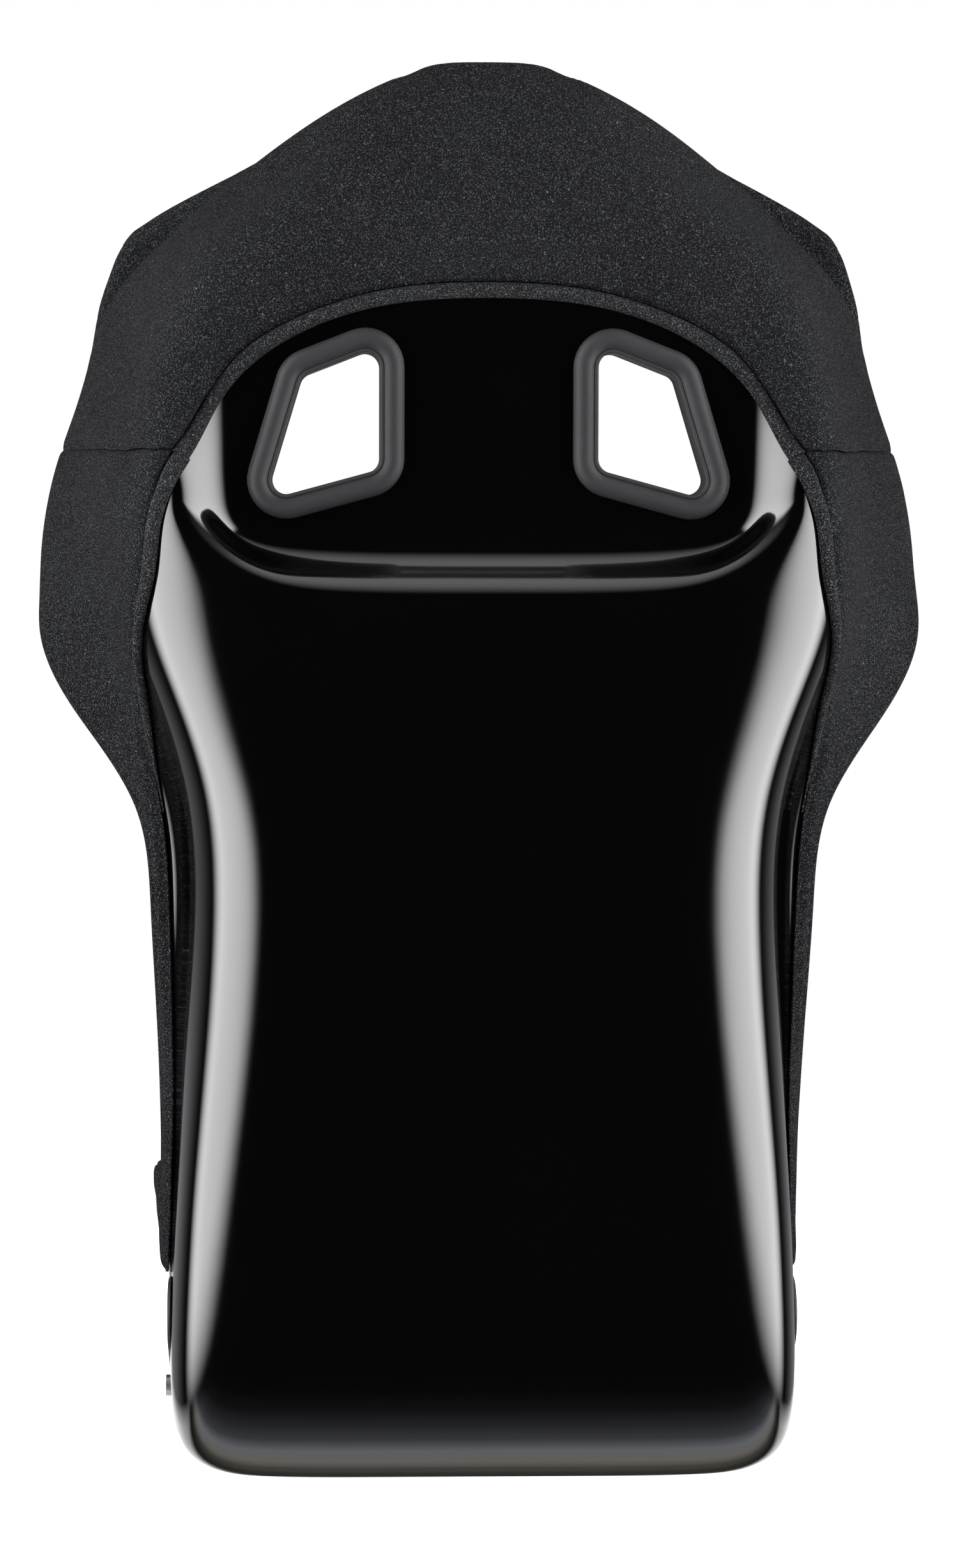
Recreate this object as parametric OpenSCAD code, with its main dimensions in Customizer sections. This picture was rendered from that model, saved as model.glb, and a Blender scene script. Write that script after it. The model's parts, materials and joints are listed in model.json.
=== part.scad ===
// Fixed-back bucket seat: a moulded shell lofted through its own sections, wrapped
// upholstery, belt-slot surrounds, cushions and side-mount inserts.
// Frame: +Z up, the seat faces -Y, X across, origin under the middle of its box.

/* [Overall size] */
// Floor to the top edge of the shell
shell_h = 903; // [880:1:930]
// Floor to the ledge behind the shoulders
ledge_h = 572; // [560:1:584]
// Front lip to the foot of the back
pan_l = 470; // [440:1:500]
// Shell width across the shoulder wings
shoulder_w = 572; // [556:1:588]
// Shell width at the waist
waist_w = 352; // [340:1:364]
// Shell width at the hips
hip_w = 406; // [396:1:416]
// Width of the recessed upper panel
panel_w = 344; // [336:1:350]

/* [Posture] */
// Lean of the lower back, degrees
recline = 6; // [4:0.5:9]
// Lean of the upper panel, degrees
panel_lean = 3.6; // [2:0.2:5]
// How far the upper panel is set in above the ledge
ledge_d = 31; // [24:1:36]
// How far the shoulder wings reach forward
wing_reach = 186; // [170:1:200]
// Height of the thigh supports over the pan
thigh_h = 164; // [150:1:176]

/* [Laminate and upholstery] */
// Shell wall
shell_t = 4; // [3:0.5:5]
// Cover cloth with its backing
cover_t = 3; // [2:0.5:4]
// Radius of the padded rim
rim_r = 8; // [7:0.5:10]
// Clearance between laid surfaces
gap = 0.6; // [0.4:0.1:0.9]
// Clearance under the wrapped covers, taken up by their backing
cover_gap = 1.2; // [1:0.1:1.6]
// Clearance under the head cover, taken up by its foam
head_cover_gap = 3.8; // [3.4:0.1:4.2]
// Width of the rolled hem
hem_w = 10; // [8:0.5:12]
// Height of the rolled hem
hem_h = 5; // [4:0.5:6]

/* [Cushions] */
// Seat cushion thickness
seat_cushion_t = 42; // [34:1:50]
// Leg cushion thickness
leg_cushion_t = 34; // [28:1:42]
// Back cushion thickness
back_cushion_t = 38; // [30:1:44]
// Upper back pad thickness
upper_pad_t = 24; // [20:1:30]
// Head pad thickness
head_pad_t = 28; // [22:1:36]
// Bolster thickness next to the cushions
bolster_t = 22; // [18:1:28]
// Bolster thickness at the rim
bolster_rim_t = 9; // [8:1:12]
// Depth of the sewn channels
channel_d = 5; // [3:0.5:7]

/* [Belt slots] */
// Width of the slot surrounds' flange
bezel_w = 15.5; // [12:0.5:17]
// Height of the rounded flange
bezel_h = 9; // [7:0.5:11]
// Sleeve wall
sleeve_t = 2.5; // [2:0.25:3.5]
// Lap slot length
lap_l = 78; // [66:1:84]
// Lap slot width
lap_w = 32; // [26:1:34]
// Width of the lap slot surrounds' flange
lap_bezel_w = 8; // [6:0.5:9]
// Crotch slot width
crotch_w = 78; // [66:1:90]
// Crotch slot length
crotch_l = 34; // [28:1:40]

/* [Mounting] */
// Pitch of the side fixing holes
mount_pitch = 290; // [280:1:300]
// Height of the side fixing holes
mount_z = 54; // [50:1:57]
// Nominal thread diameter of the side inserts
mount_bore_d = 8; // [6:1:10]
// Insert flange diameter
insert_flange_d = 20; // [18:1:24]
// Insert barrel diameter
insert_barrel_d = 14; // [12:1:16]

/* [Hidden] */

shell_color = "#16171a";
cloth_color = "#2b2d31";
pad_color = "#3a3d43";
trim_color = "#4a4d52";
metal_color = "#9a9da1";

$fn = 48;
eps = 0.01;

// ---------- sections of the loft ----------

hip = hip_w/2;
waist = waist_w/2;
wing = shoulder_w/2;
panel = panel_w/2;
pan_rear = 118;
pan_front = pan_rear - pan_l;
foot_z = 110;
y_mid = (pan_front - rim_r + back_y(ledge_h))/2;

// Rear face of the lower back and of the upper panel at a height
function back_y(z) = pan_rear + 40 + (z - foot_z)*tan(recline);
function panel_y(z) = back_y(ledge_h) - ledge_d + (z - ledge_h)*tan(panel_lean);
function low_z(t) = foot_z + (ledge_h - foot_z)*t;
function high_z(t) = ledge_h + (shell_h - ledge_h)*t;
head_y = panel_y(high_z(0.69));

// One section: rear centre [y, z], lean of its walls, two half widths of the flat,
// then [half width, reach] of the corner, the wall and the rim
sections = [
    [pan_front,               50,           80,  60, 120, [hip-8, 6],    [hip+1, 42], [hip+6, 64]],
    [pan_front+34,            34,           82,  62, 124, [hip-4, 0],    [hip+3, 62], [hip+12, thigh_h-64]],
    [pan_front+112,           12,           86,  64, 128, [hip-1, 0],    [hip+4, 82], [hip+14, thigh_h-26]],
    [pan_rear-268,            0,            90,  66, 132, [hip, 0],      [hip+4, 92], [hip+13, thigh_h]],
    [pan_rear-188,            0,            97,  68, 134, [hip, 0],      [hip+3, 96], [hip+12, thigh_h+22]],
    [pan_rear-118,            0,            107, 68, 134, [hip, 0],      [hip+2, 100], [hip+10, thigh_h+34]],
    [pan_rear-56,             0,            120, 68, 134, [hip, 0],      [hip+2, 102], [hip+9, thigh_h+40]],
    [pan_rear,                2,            133, 68, 134, [hip, 0],      [hip+1, 104], [hip+8, thigh_h+42]],
    [pan_rear+28,             40,           145, 66, 132, [hip-1, 0],    [hip, 100],  [hip+7, thigh_h+24]],
    [back_y(low_z(0)),        low_z(0),     157, 62, 126, [hip-3, 0],    [hip-2, 96], [hip+6, 172]],
    [back_y(low_z(0.173)),    low_z(0.173), 168, 60, 122, [hip-8, 0],    [hip-6, 92], [hip+5, 146]],
    [back_y(low_z(0.368)),    low_z(0.368), 175, 58, 118, [waist+8, 0],  [waist+12, 90], [waist+31, 122]],
    [back_y(low_z(0.563)),    low_z(0.563), 180, 57, 114, [waist, 0],    [waist+4, 84], [waist+29, 108]],
    [back_y(low_z(0.714)),    low_z(0.714), 180, 59, 118, [waist+3, 0],  [waist+8, 84], [wing-74, 114]],
    [back_y(low_z(0.855)),    low_z(0.855), 180, 68, 134, [waist+27, 0], [wing-72, 92], [wing-20, 148]],
    [back_y(low_z(0.942)),    low_z(0.942), 180, 76, 144, [wing-62, 0],  [wing-54, 104], [wing, wing_reach-14]],
    [back_y(ledge_h),         ledge_h,      180, 100, 150, [wing-62, -2], [wing-50, 100], [wing, wing_reach-2]],
    [panel_y(high_z(0.06)),   high_z(0.06), 180, 146, panel-6, [panel+38, -34], [wing-48, 72], [wing-2, wing_reach+2]],
    [panel_y(high_z(0.14)),   high_z(0.14), 180, 154, panel+1, [panel+37, -38], [wing-50, 60], [wing-3, wing_reach+6]],
    [panel_y(high_z(0.26)),   high_z(0.26), 180, 154, panel+1, [panel+34, -30], [wing-56, 58], [wing-11, wing_reach+9]],
    [panel_y(high_z(0.40)),   high_z(0.40), 183, 150, panel-2, [panel+29, -14], [wing-64, 64], [wing-25, wing_reach+8]],
    [panel_y(high_z(0.545)),  high_z(0.545), 190, 132, panel-14, [panel+20, 0], [wing-70, 82], [wing-36, wing_reach+4]],
    [head_y-3,                high_z(0.69), 197, 84, 132, [panel+2, 18], [wing-69, 100], [wing-43, wing_reach+2]],
    [head_y-18,               high_z(0.834), 208, 46, 80, [panel-40, 36], [wing-72, 112], [wing-47, wing_reach-1]],
    [head_y-34,               high_z(0.93), 218, 26, 50, [panel-72, 29], [wing-80, 110], [wing-50, wing_reach-14]],
    [head_y-48,               shell_h,      226, 18, 38, [panel-98, 20], [wing-90, 110], [wing-54, wing_reach-26]]
];

// Named places along the seat, counted in sections, and across it, counted in columns
rim_u = 6;
top_v = len(sections) - 1;
seam_v = 19;
flange_uv = 0.35;
split_u = 2.15;

// ---------- loft ----------

function unit(v) = v/norm(v);
function mix(a, b, t) = a + (b - a)*t;
function reach_dir(lean) = [0, cos(lean), sin(lean)];
function half_row(s) = let (
        wall = s[6],
        rim = s[7],
        marks = [[0, 0], [s[3], 0], [s[4], 0], s[5], wall, (wall + rim)/2, rim])
    [for (m = marks) [m[0], s[0] - y_mid, s[1]] + m[1]*reach_dir(s[2])];
function flip_x(p) = [-p[0], p[1], p[2]];
function padded(row, first) =
    let (n = len(row)) concat([first], row, [2*row[n-1] - row[n-2]]);
rows = [for (s = sections) let (r = half_row(s)) padded(r, flip_x(r[1]))];
net = concat([2*rows[0] - rows[1]], rows, [2*rows[top_v] - rows[top_v-1]]);
leans = let (a = [for (s = sections) s[2]])
    concat([2*a[0] - a[1]], a, [2*a[top_v] - a[top_v-1]]);

// Uniform cubic weights and their slopes
function weights(t) = [pow(1-t, 3), 3*t*t*t - 6*t*t + 4, -3*t*t*t + 3*t*t + 3*t + 1, t*t*t]/6;
function slopes(t) = [-(1-t)*(1-t), 3*t*t - 4*t, -3*t*t + 2*t + 1, t*t]/2;
function cell(p, n) = max(0, min(floor(p), n-1));

// Point and outward normal of the shell's outer face; q is [column, section]
function skin_at(q) = let (
        au = abs(q[0]),
        k = cell(q[1], top_v),
        l = cell(au, rim_u),
        a = weights(q[1] - k),
        b = weights(au - l),
        patch = [for (i = [0:3]) [for (j = [0:3]) net[k+i][l+j]]],
        across = [for (r = patch) b*r],
        p = a*across,
        along_v = slopes(q[1] - k)*across,
        along_u = a*[for (r = patch) slopes(au - l)*r],
        n = unit(cross(along_v, along_u)))
    q[0] < 0 ? [flip_x(p), flip_x(n)] : [p, n];
function lean_at(v) = let (k = cell(v, top_v)) weights(v - k)*[for (i = [0:3]) leans[k+i]];
function place(q, d) = let (s = skin_at(q)) s[0] + s[1]*d;

// ---------- closed skins ----------

// Two matching grids of points joined into one closed solid
module thick(outer, inner) {
    rows_n = len(outer);
    cols_n = len(outer[0]);
    half = rows_n*cols_n;
    at = function(i, j, side) side*half + i*cols_n + j;
    quads = concat(
        [for (i = [0:rows_n-2]) for (j = [0:cols_n-2])
            [at(i,j,0), at(i,j+1,0), at(i+1,j+1,0), at(i+1,j,0)]],
        [for (i = [0:rows_n-2]) for (j = [0:cols_n-2])
            [at(i,j,1), at(i+1,j,1), at(i+1,j+1,1), at(i,j+1,1)]],
        [for (i = [0:rows_n-2]) [at(i,0,0), at(i+1,0,0), at(i+1,0,1), at(i,0,1)]],
        [for (i = [0:rows_n-2])
            [at(i+1,cols_n-1,0), at(i,cols_n-1,0), at(i,cols_n-1,1), at(i+1,cols_n-1,1)]],
        [for (j = [0:cols_n-2]) [at(0,j+1,0), at(0,j,0), at(0,j,1), at(0,j+1,1)]],
        [for (j = [0:cols_n-2])
            [at(rows_n-1,j,0), at(rows_n-1,j+1,0), at(rows_n-1,j+1,1), at(rows_n-1,j,1)]]);
    points = [for (g = [outer, inner]) for (r = g) for (p = r) p];
    polyhedron(points, [for (f = quads) for (t = halves(f, points)) t], convexity = 8);
}

// A quad cut along its shorter diagonal
function halves(f, pts) =
    norm(pts[f[0]] - pts[f[2]]) <= norm(pts[f[1]] - pts[f[3]]) + eps
        ? [[f[0], f[1], f[2]], [f[0], f[2], f[3]]]
        : [[f[0], f[1], f[3]], [f[1], f[2], f[3]]];

// Closed loops joined end to end into a ring
module ring(loops) {
    n = len(loops);
    m = len(loops[0]);
    points = [for (l = loops) for (p = l) p];
    faces = [for (i = [0:n-1]) for (j = [0:m-1])
        let (a = i*m + j, b = i*m + (j+1)%m, c = ((i+1)%n)*m + (j+1)%m, d = ((i+1)%n)*m + j)
        each [[a, b, c], [a, c, d]]];
    polyhedron(points, faces, convexity = 6);
}

// ---------- shell ----------

shell_u = [0, 1, 1.6, 2, 2.3, 2.6, 2.85, 3.1, 3.35, 3.6, 4, 4.5, 5, 5.5, 6];
shell_us = concat([for (i = [len(shell_u)-1:-1:1]) -shell_u[i]], shell_u);
shell_vs = concat(
    [0, 0.5, 1, 1.5, 2, 3, 4, 5, 6, 6.5, 7, 7.5, 8, 8.5, 9, 10, 11, 12, 13, 13.5, 14, 14.5, 15],
    [15.5, 16, 16.33, 16.67, 17, 17.5, 18, 19, 20, 21, 22, 22.5, 23, 23.5, 24, 25]);

// Point at a distance from the faceted face itself, so that what lies on it follows its flats
function line_before(list, x) =
    let (n = len([for (k = [0:len(list)-1]) if (list[k] <= x) k])) max(0, min(n - 1, len(list) - 2));
function laid(q, d) = let (
        i = line_before(shell_us, q[0]),
        j = line_before(shell_vs, q[1]),
        a = (q[0] - shell_us[i])/(shell_us[i+1] - shell_us[i]),
        b = (q[1] - shell_vs[j])/(shell_vs[j+1] - shell_vs[j]),
        low = mix(place([shell_us[i], shell_vs[j]], d), place([shell_us[i+1], shell_vs[j]], d), a),
        high = mix(place([shell_us[i], shell_vs[j+1]], d), place([shell_us[i+1], shell_vs[j+1]], d), a))
    mix(low, high, b);

// Grid lines between two places, with both ends
function lines_in(list, a, b) =
    concat([a], [for (x = list) if (x > a + 0.04 && x < b - 0.04) x], [b]);

module shell_skin() {
    thick([for (v = shell_vs) [for (u = shell_us) place([u, v], 0)]],
          [for (v = shell_vs) [for (u = shell_us) place([u, v], -shell_t)]]);
}

module shell() {
    color(shell_color)
    difference() {
        shell_skin();
        mirror_pair() {
            harness_place() slot_prism(harness_corners, harness_r, sleeve_t + gap/2, 60);
            lap_place() slot_prism(lap_corners, lap_w/2, sleeve_t + gap/2, 60);
            mount_places() insert_cut(insert_barrel_d + 0.3, insert_l + 8);
        }
        crotch_place() slot_prism(crotch_corners, crotch_l/2, sleeve_t + gap/2, 60);
    }
}

module mirror_pair() {
    children();
    mirror([1, 0, 0]) children();
}

// ---------- belt slots ----------

// Outline round corner centres, r plus o away from them; p0 to p3 run anticlockwise
function outline(centres, r, o, n) = [
    for (i = [0:3])
        let (c = centres[i],
             a = centres[(i+3)%4],
             b = centres[(i+1)%4],
             from = atan2(c[1]-a[1], c[0]-a[0]) - 90,
             to0 = atan2(b[1]-c[1], b[0]-c[0]) - 90,
             to = to0 < from ? to0 + 360 : to0)
        for (k = [0:n]) let (t = from + (to - from)*k/n) [c[0] + (r+o)*cos(t), c[1] + (r+o)*sin(t)]
];

module slot_prism(centres, r, o, h) {
    linear_extrude(height = h, center = true) polygon(outline(centres, r, o, 4));
}

// Shoulder slots: corner centres across and up the upper panel, seen from behind
harness_r = 9;
upper_h = shell_h - ledge_h;
function slot_top(share) = share*upper_h - harness_r - bezel_w;
function slot_foot(share) = share*upper_h + harness_r + bezel_w;
harness_corners = [
    [panel-45, slot_foot(0.1355)],
    [panel-62.5, slot_top(0.4587)],
    [panel-94.5, slot_top(0.4965)],
    [panel-94.5, slot_foot(0.1763)]
];
lap_corners = [
    [(lap_l - lap_w)/2, 0.5],
    [-(lap_l - lap_w)/2, 0.5],
    [-(lap_l - lap_w)/2, -0.5],
    [(lap_l - lap_w)/2, -0.5]
];
crotch_corners = [
    [(crotch_w - crotch_l)/2, 0.5],
    [-(crotch_w - crotch_l)/2, 0.5],
    [-(crotch_w - crotch_l)/2, -0.5],
    [(crotch_w - crotch_l)/2, -0.5]
];

// Each place has the slot's outline in its X and Y, and Z out of the shell
module harness_place() {
    translate([0, panel_y(ledge_h) - y_mid, ledge_h])
        rotate([-panel_lean, 0, 0]) rotate([90, 0, 0]) mirror([0, 0, 1]) children();
}

lap_q = [4.35, 7];
lap_at = skin_at(lap_q)[0];
lap_turn = 25;
module lap_place() {
    translate(lap_at) rotate([lap_turn, 0, 0]) rotate([90, 0, 90]) children();
}

crotch_y = pan_rear - 170 - y_mid;
module crotch_place() {
    translate([0, crotch_y, 0]) mirror([0, 0, 1]) children();
}

// Rounded flange with its sleeve; section points are [outward, height]
function bezel_section(w, h, deep) = concat(
    [[0, -deep], [0, h*0.55]],
    [for (k = [0:4]) let (t = 150 - 150*k/4) [w*(0.5 + 0.5*cos(t)), h*(0.45 + 0.55*sin(t))]],
    [[w, 0], [sleeve_t, 0], [sleeve_t, -deep]]);

module bezel(centres, r, w, h, deep, n) {
    loops = [for (s = bezel_section(w, h, deep))
        [for (p = outline(centres, r, s[0], n)) [p[0], p[1], s[1]]]];
    ring(loops);
}

// ---------- side fixings ----------

mount_mid_y = pan_front + 92 + mount_pitch/2 - y_mid;
mount_face_x = hip + 4.5;
insert_l = 17;
insert_flange_t = 2;

// Origin on the outer face of each insert, X pointing out of the seat
module mount_places() {
    for (side = [-1, 1])
        translate([mount_face_x, mount_mid_y + side*mount_pitch/2, mount_z]) children();
}

module insert_cut(d, l) {
    rotate([0, -90, 0]) translate([0, 0, -1]) cylinder(d = d, h = l + 1);
}

module mount_inserts() {
    color(metal_color)
    mirror_pair() mount_places() rotate([0, -90, 0]) difference() {
        union() {
            cylinder(d = insert_barrel_d, h = insert_l);
            translate([0, 0, insert_l - insert_flange_t])
                cylinder(d = insert_flange_d, h = insert_flange_t);
        }
        translate([0, 0, -1]) cylinder(d = mount_bore_d, h = insert_l + 2);
    }
}

// ---------- wrapped covers ----------

// Hem of the side covers: columns at whole sections, from the seat's front to its head
hem_cols = [5.3, 5.3, 5.3, 5.3, 5.3, 5.3, 5.3, 5.35, 5.4, 5.4, 5.4, 5.4, 5.6, 5.55, 4.25, 3.7, 3.5, 3.65, 3.6,
    3.25, 3.0];
// Hem over the head, from the seam to the middle
arch_half = [[3.27, 19], [2.85, 19.35], [2.25, 19.75], [1.45, 20.3], [0.85, 21.05], [0.3, 21.45]];
hem_arch = concat(arch_half, [for (i = [len(arch_half)-1:-1:0]) [-arch_half[i][0], arch_half[i][1]]]);
waist_v = 12.4;
front_v = 0.8;
seam_gap = 0.012;
corner_v = 2;
corner_u = 2;

// Clamped cubic curve through a list of knots
function curve(list, t) = let (
        n = len(list) - 1,
        pad = concat([2*list[0] - list[1]], list, [2*list[n] - list[n-1]]),
        k = cell(t, n))
    weights(t - k)*[for (i = [0:3]) pad[k+i]];
function hem_q(v) = [curve(hem_cols, v), v];
function pair_flip(p) = [[-p[0][0], p[0][1]], [-p[1][0], p[1][1]]];

// Pairs of rim and hem places along each cover
function side_pairs(v0, v1) = [for (v = lines_in(shell_vs, v0, v1)) [[rim_u, v], hem_q(v)]];
head_side_n = 7;
head_top_n = 8;
function head_pairs() = let (
        rims = concat(
            [for (i = [0:head_side_n-1]) [rim_u, mix(seam_v + seam_gap, top_v, i/head_side_n)]],
            [for (i = [0:head_top_n]) [rim_u*(1 - i/head_top_n), top_v]]),
        n = head_side_n + head_top_n,
        half = [for (i = [0:n]) [rims[i], curve(hem_arch, (len(hem_arch)-1)*i/(2*n))]])
    concat(half, [for (i = [n-1:-1:0]) pair_flip(half[i])]);
function front_pairs() = let (
        half = concat(
            [[[rim_u, front_v - seam_gap], hem_q(front_v)], [[rim_u, 0.4], [5.3, 0.75]], [[rim_u, 0], [5.2, 0.6]]],
            [for (u = [5.4, 4.8, 4.2, 3.6, 3.3, 3, 2.7, 2.4, 1.6, 0]) [[u, 0], [u*0.9, 0.5]]]),
        n = len(half))
    concat([for (p = half) pair_flip(p)], [for (i = [n-2:-1:0]) half[i]]);

function flange_end(r) = [
    sign(r[0])*min(abs(r[0]), rim_u - flange_uv),
    max(flange_uv, min(r[1], top_v - flange_uv))
];
// Way out of the shell at its rim, square to the rim and turning evenly round the corners
function square(along, r, back) = let (
        c = unit(cross(along, skin_at(r)[1])))
    c*(place(r, 0) - place(back, 0)) < 0 ? -c : c;
function side_out(r) = let (v0 = max(0, r[1] - 0.05), v1 = min(top_v, r[1] + 0.05))
    square(place([r[0], v1], 0) - place([r[0], v0], 0), r, [r[0]*0.99, r[1]]);
function end_out(r) = let (
        u0 = max(-rim_u, r[0] - 0.05),
        u1 = min(rim_u, r[0] + 0.05))
    square(place([u1, r[1]], 0) - place([u0, r[1]], 0), r, [r[0], r[1] > top_v/2 ? r[1] - 0.06 : r[1] + 0.06]);
function out_dir(r) = let (
        side = abs(r[0]) > rim_u - eps,
        from_end = min(r[1], top_v - r[1]),
        w = side ? 0.5*max(0, 1 - from_end/corner_v) : 1 - 0.5*max(0, 1 - (rim_u - abs(r[0]))/corner_u))
    w == 0 ? side_out(r) : w == 1 ? end_out(r) : unit(mix(side_out(r), end_out(r), w));
function roll_at(r, a, radius) = let (s = skin_at(r))
    s[0] - s[1]*shell_t/2 + radius*(s[1]*sin(a) + out_dir(r)*cos(a));

// Samples crowd round the corner of the section, where it bends most
bend_in = [[0, 0], [2.3, 2.3], [4.2, 8], [6, 9.8]];
bend_out = [for (b = bend_in) [b[1], b[0]]];
function crowd(h, r, t) = let (
        a = abs(h[0]),
        b = abs(r[0]),
        u = lookup(mix(lookup(a, bend_in), lookup(b, bend_in), t), bend_out))
    b - a < 1 ? mix(h, r, t) : mix(h, r, (u - a)/(b - a));

roll_n = 3;
function wrap_line(pair, flap_n, far, near, radius) = let (r = pair[0], h = pair[1]) concat(
    [for (j = [0:flap_n-1]) laid(crowd(h, r, j/flap_n), far)],
    [for (j = [0:roll_n]) roll_at(r, 54 - 108*j/roll_n, radius)],
    [laid(mix(r, flange_end(r), 0.5), near), laid(flange_end(r), near)]);

// Cloth laid from its hem over the rim and a little way into the seat
module wrap(pairs, flap_n, off = cover_gap) {
    color(cloth_color)
    thick([for (p = pairs) wrap_line(p, flap_n, off + cover_t, -(shell_t + cover_gap + cover_t), rim_r)],
          [for (p = pairs) wrap_line(p, flap_n, off, -(shell_t + cover_gap), rim_r - cover_t)]);
}

module cover_head() { wrap(head_pairs(), 10, head_cover_gap); }
module cover_shoulder_left() {
    wrap(side_pairs(waist_v + seam_gap, seam_v - seam_gap), 6);
}
module cover_shoulder_right() { mirror([1, 0, 0]) cover_shoulder_left(); }
module cover_flank_left() { wrap(side_pairs(front_v + seam_gap, waist_v - seam_gap), 3); }
module cover_flank_right() { mirror([1, 0, 0]) cover_flank_left(); }
module cover_front() { wrap(front_pairs(), 2); }

// Rolled hem, a bead that closes the edge of the cloth against the shell
hem_n = 3;
function hem_point(pair, s, lift) = let (
        r = pair[0],
        h = pair[1],
        step = norm(place(h, 0) - place(h + (h - r)*0.02, 0))/0.02,
        q = h + (h - r)*(0.4 + s*hem_w)/step)
    laid(q, gap + lift);
module bead(pairs) {
    color(trim_color)
    thick([for (p = pairs) [for (j = [hem_n:-1:0])
              hem_point(p, j/hem_n, 0.8 + (hem_h - 0.8)*sin(180*j/hem_n))]],
          [for (p = pairs) [for (j = [hem_n:-1:0]) hem_point(p, j/hem_n, 0)]]);
}
module hem_head() { bead(head_pairs()); }
module hem_left() { bead(side_pairs(13.2, seam_v - seam_gap)); }
module hem_right() { mirror([1, 0, 0]) hem_left(); }

// ---------- pads and cushions ----------

// Direction a pad grows in: forward at the middle, turning inward towards the rim
function pad_dir(side, v, turn) =
    let (f = reach_dir(lean_at(v))) unit(f*cos(turn) - [side*sin(turn), 0, 0]);
function ease(t) = t*t*(3 - 2*t);
function swell(s, sharp) = pow(max(0, 1 - pow(abs(2*s - 1), sharp)), 0.5);

// Columns and rows, thickness at both sides, turn of the direction at both sides,
// share of the thickness left at the edges, crown, and the sections of sewn channels
module pad(us, vs, ts, turns, edges, crown, sewn) {
    u0 = us[0];
    u1 = us[len(us)-1];
    v0 = vs[0];
    v1 = vs[len(vs)-1];
    grid = function(front)
        [for (v = vs) let (b = (v - v0)/(v1 - v0))
            [for (u = us) let (
                    a = (u - u0)/(u1 - u0),
                    back = laid([u, v], -(shell_t + gap)),
                    ex = mix(edges[0], 1, swell(a, 6)),
                    ey = mix(edges[1], 1, swell(b, 8)),
                    dome = 1 + crown*(1 - pow(2*b-1, 2))*(1 - pow(2*a-1, 2)),
                    t = mix(ts[0], ts[1], ease(a))*ex*ey*dome - channel_d*stitch(v, sewn)*swell(a, 4),
                    turn = mix(turns[0], turns[1], 1 - pow(1-a, 2)))
                front ? back + t*pad_dir(sign(u0 + u1), v, turn) : back]];
    color(pad_color) thick(grid(false), grid(true));
}

// Rows with three lines at each sewn channel
sewn_w = 0.12;
function sewn_rows(list, sewn) = [
    for (x = list) each let (hit = [for (c = sewn) if (abs(c - x) < eps) c])
        len(hit) > 0 ? [x - sewn_w, x, x + sewn_w] : [x]
];
function stitch(v, sewn) = len([for (c = sewn) if (abs(c - v) < eps) c]) > 0 ? 1 : 0;

inner_u = split_u - 0.03;
outer_u = rim_u - flange_uv - 0.22;
module flat_pad(u, vs, t, edge_u, crown, sewn) {
    pad(lines_in(shell_us, -u, u), sewn_rows(vs, sewn), [t, t], [0, 0], [edge_u, 0.45], crown, sewn);
}
module side_pad(u0, v0, v1, ts, turn) {
    pad(lines_in(shell_us, u0, outer_u), lines_in(shell_vs, v0, v1), ts, [0, turn], [0.8, 0.5], 0.1, []);
}

head_v = 21.5;
knee_v = 2.5;
crease_v = 8;
hip_v = 9;
chest_v = 14.2;
ledge_v = 17;
seam = 0.02;
module head_pad() {
    flat_pad(2.6, lines_in(shell_vs, head_v + seam, top_v - flange_uv - 2*seam), head_pad_t, 0.5, 0.15, []);
}
module upper_back_pad() {
    difference() {
        flat_pad(inner_u, lines_in(shell_vs, ledge_v + seam, head_v - seam), upper_pad_t, 1, 0, []);
        mirror_pair() harness_place() slot_prism(harness_corners, harness_r, sleeve_t + gap, 160);
    }
}
bolster_ts = [bolster_t, bolster_rim_t];
module shoulder_pad_left() {
    side_pad(split_u + 0.03, chest_v + seam, head_v - seam, bolster_ts, 72);
}
module shoulder_pad_right() { mirror([1, 0, 0]) shoulder_pad_left(); }
module head_side_pad_left() {
    side_pad(2.66, head_v + seam, top_v - flange_uv - 2*seam, bolster_ts, 60);
}
module head_side_pad_right() { mirror([1, 0, 0]) head_side_pad_left(); }
module torso_bolster_left() {
    side_pad(split_u + 0.03, hip_v + seam, chest_v - seam, bolster_ts, 72);
}
module torso_bolster_right() { mirror([1, 0, 0]) torso_bolster_left(); }
module thigh_pad_left() {
    difference() {
        side_pad(split_u + 0.03, flange_uv + 2*seam, hip_v - seam, bolster_ts, 72);
        lap_place() slot_prism(lap_corners, lap_w/2, sleeve_t + gap, 160);
        mount_places() insert_cut(insert_flange_d + 2, insert_l + 2);
    }
}
module thigh_pad_right() { mirror([1, 0, 0]) thigh_pad_left(); }

back_rows = [crease_v + seam, 8.5, 9, 9.5, 10, 10.5, 11, 11.5, 12, 12.5, 13, 13.5, 14, 14.5, 15, 15.5, 16,
    16.33, 16.67, ledge_v - seam];
seat_rows = [knee_v + seam, 3, 3.5, 4, 4.5, 5, 5.5, 6, 6.5, 7, 7.5, crease_v - seam];
module back_cushion() {
    flat_pad(inner_u, back_rows, back_cushion_t, 0.7, 0.1, [11, 12.5, 14]);
}
module seat_cushion() {
    difference() {
        flat_pad(inner_u, seat_rows, seat_cushion_t, 0.7, 0.1, [5.5]);
        crotch_place() slot_prism(crotch_corners, crotch_l/2, sleeve_t + 8, 200);
    }
}
module leg_cushion() {
    flat_pad(inner_u, lines_in(shell_vs, flange_uv + 2*seam, knee_v - seam), leg_cushion_t, 0.7, 0.12, []);
}

// ---------- surrounds ----------

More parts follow.
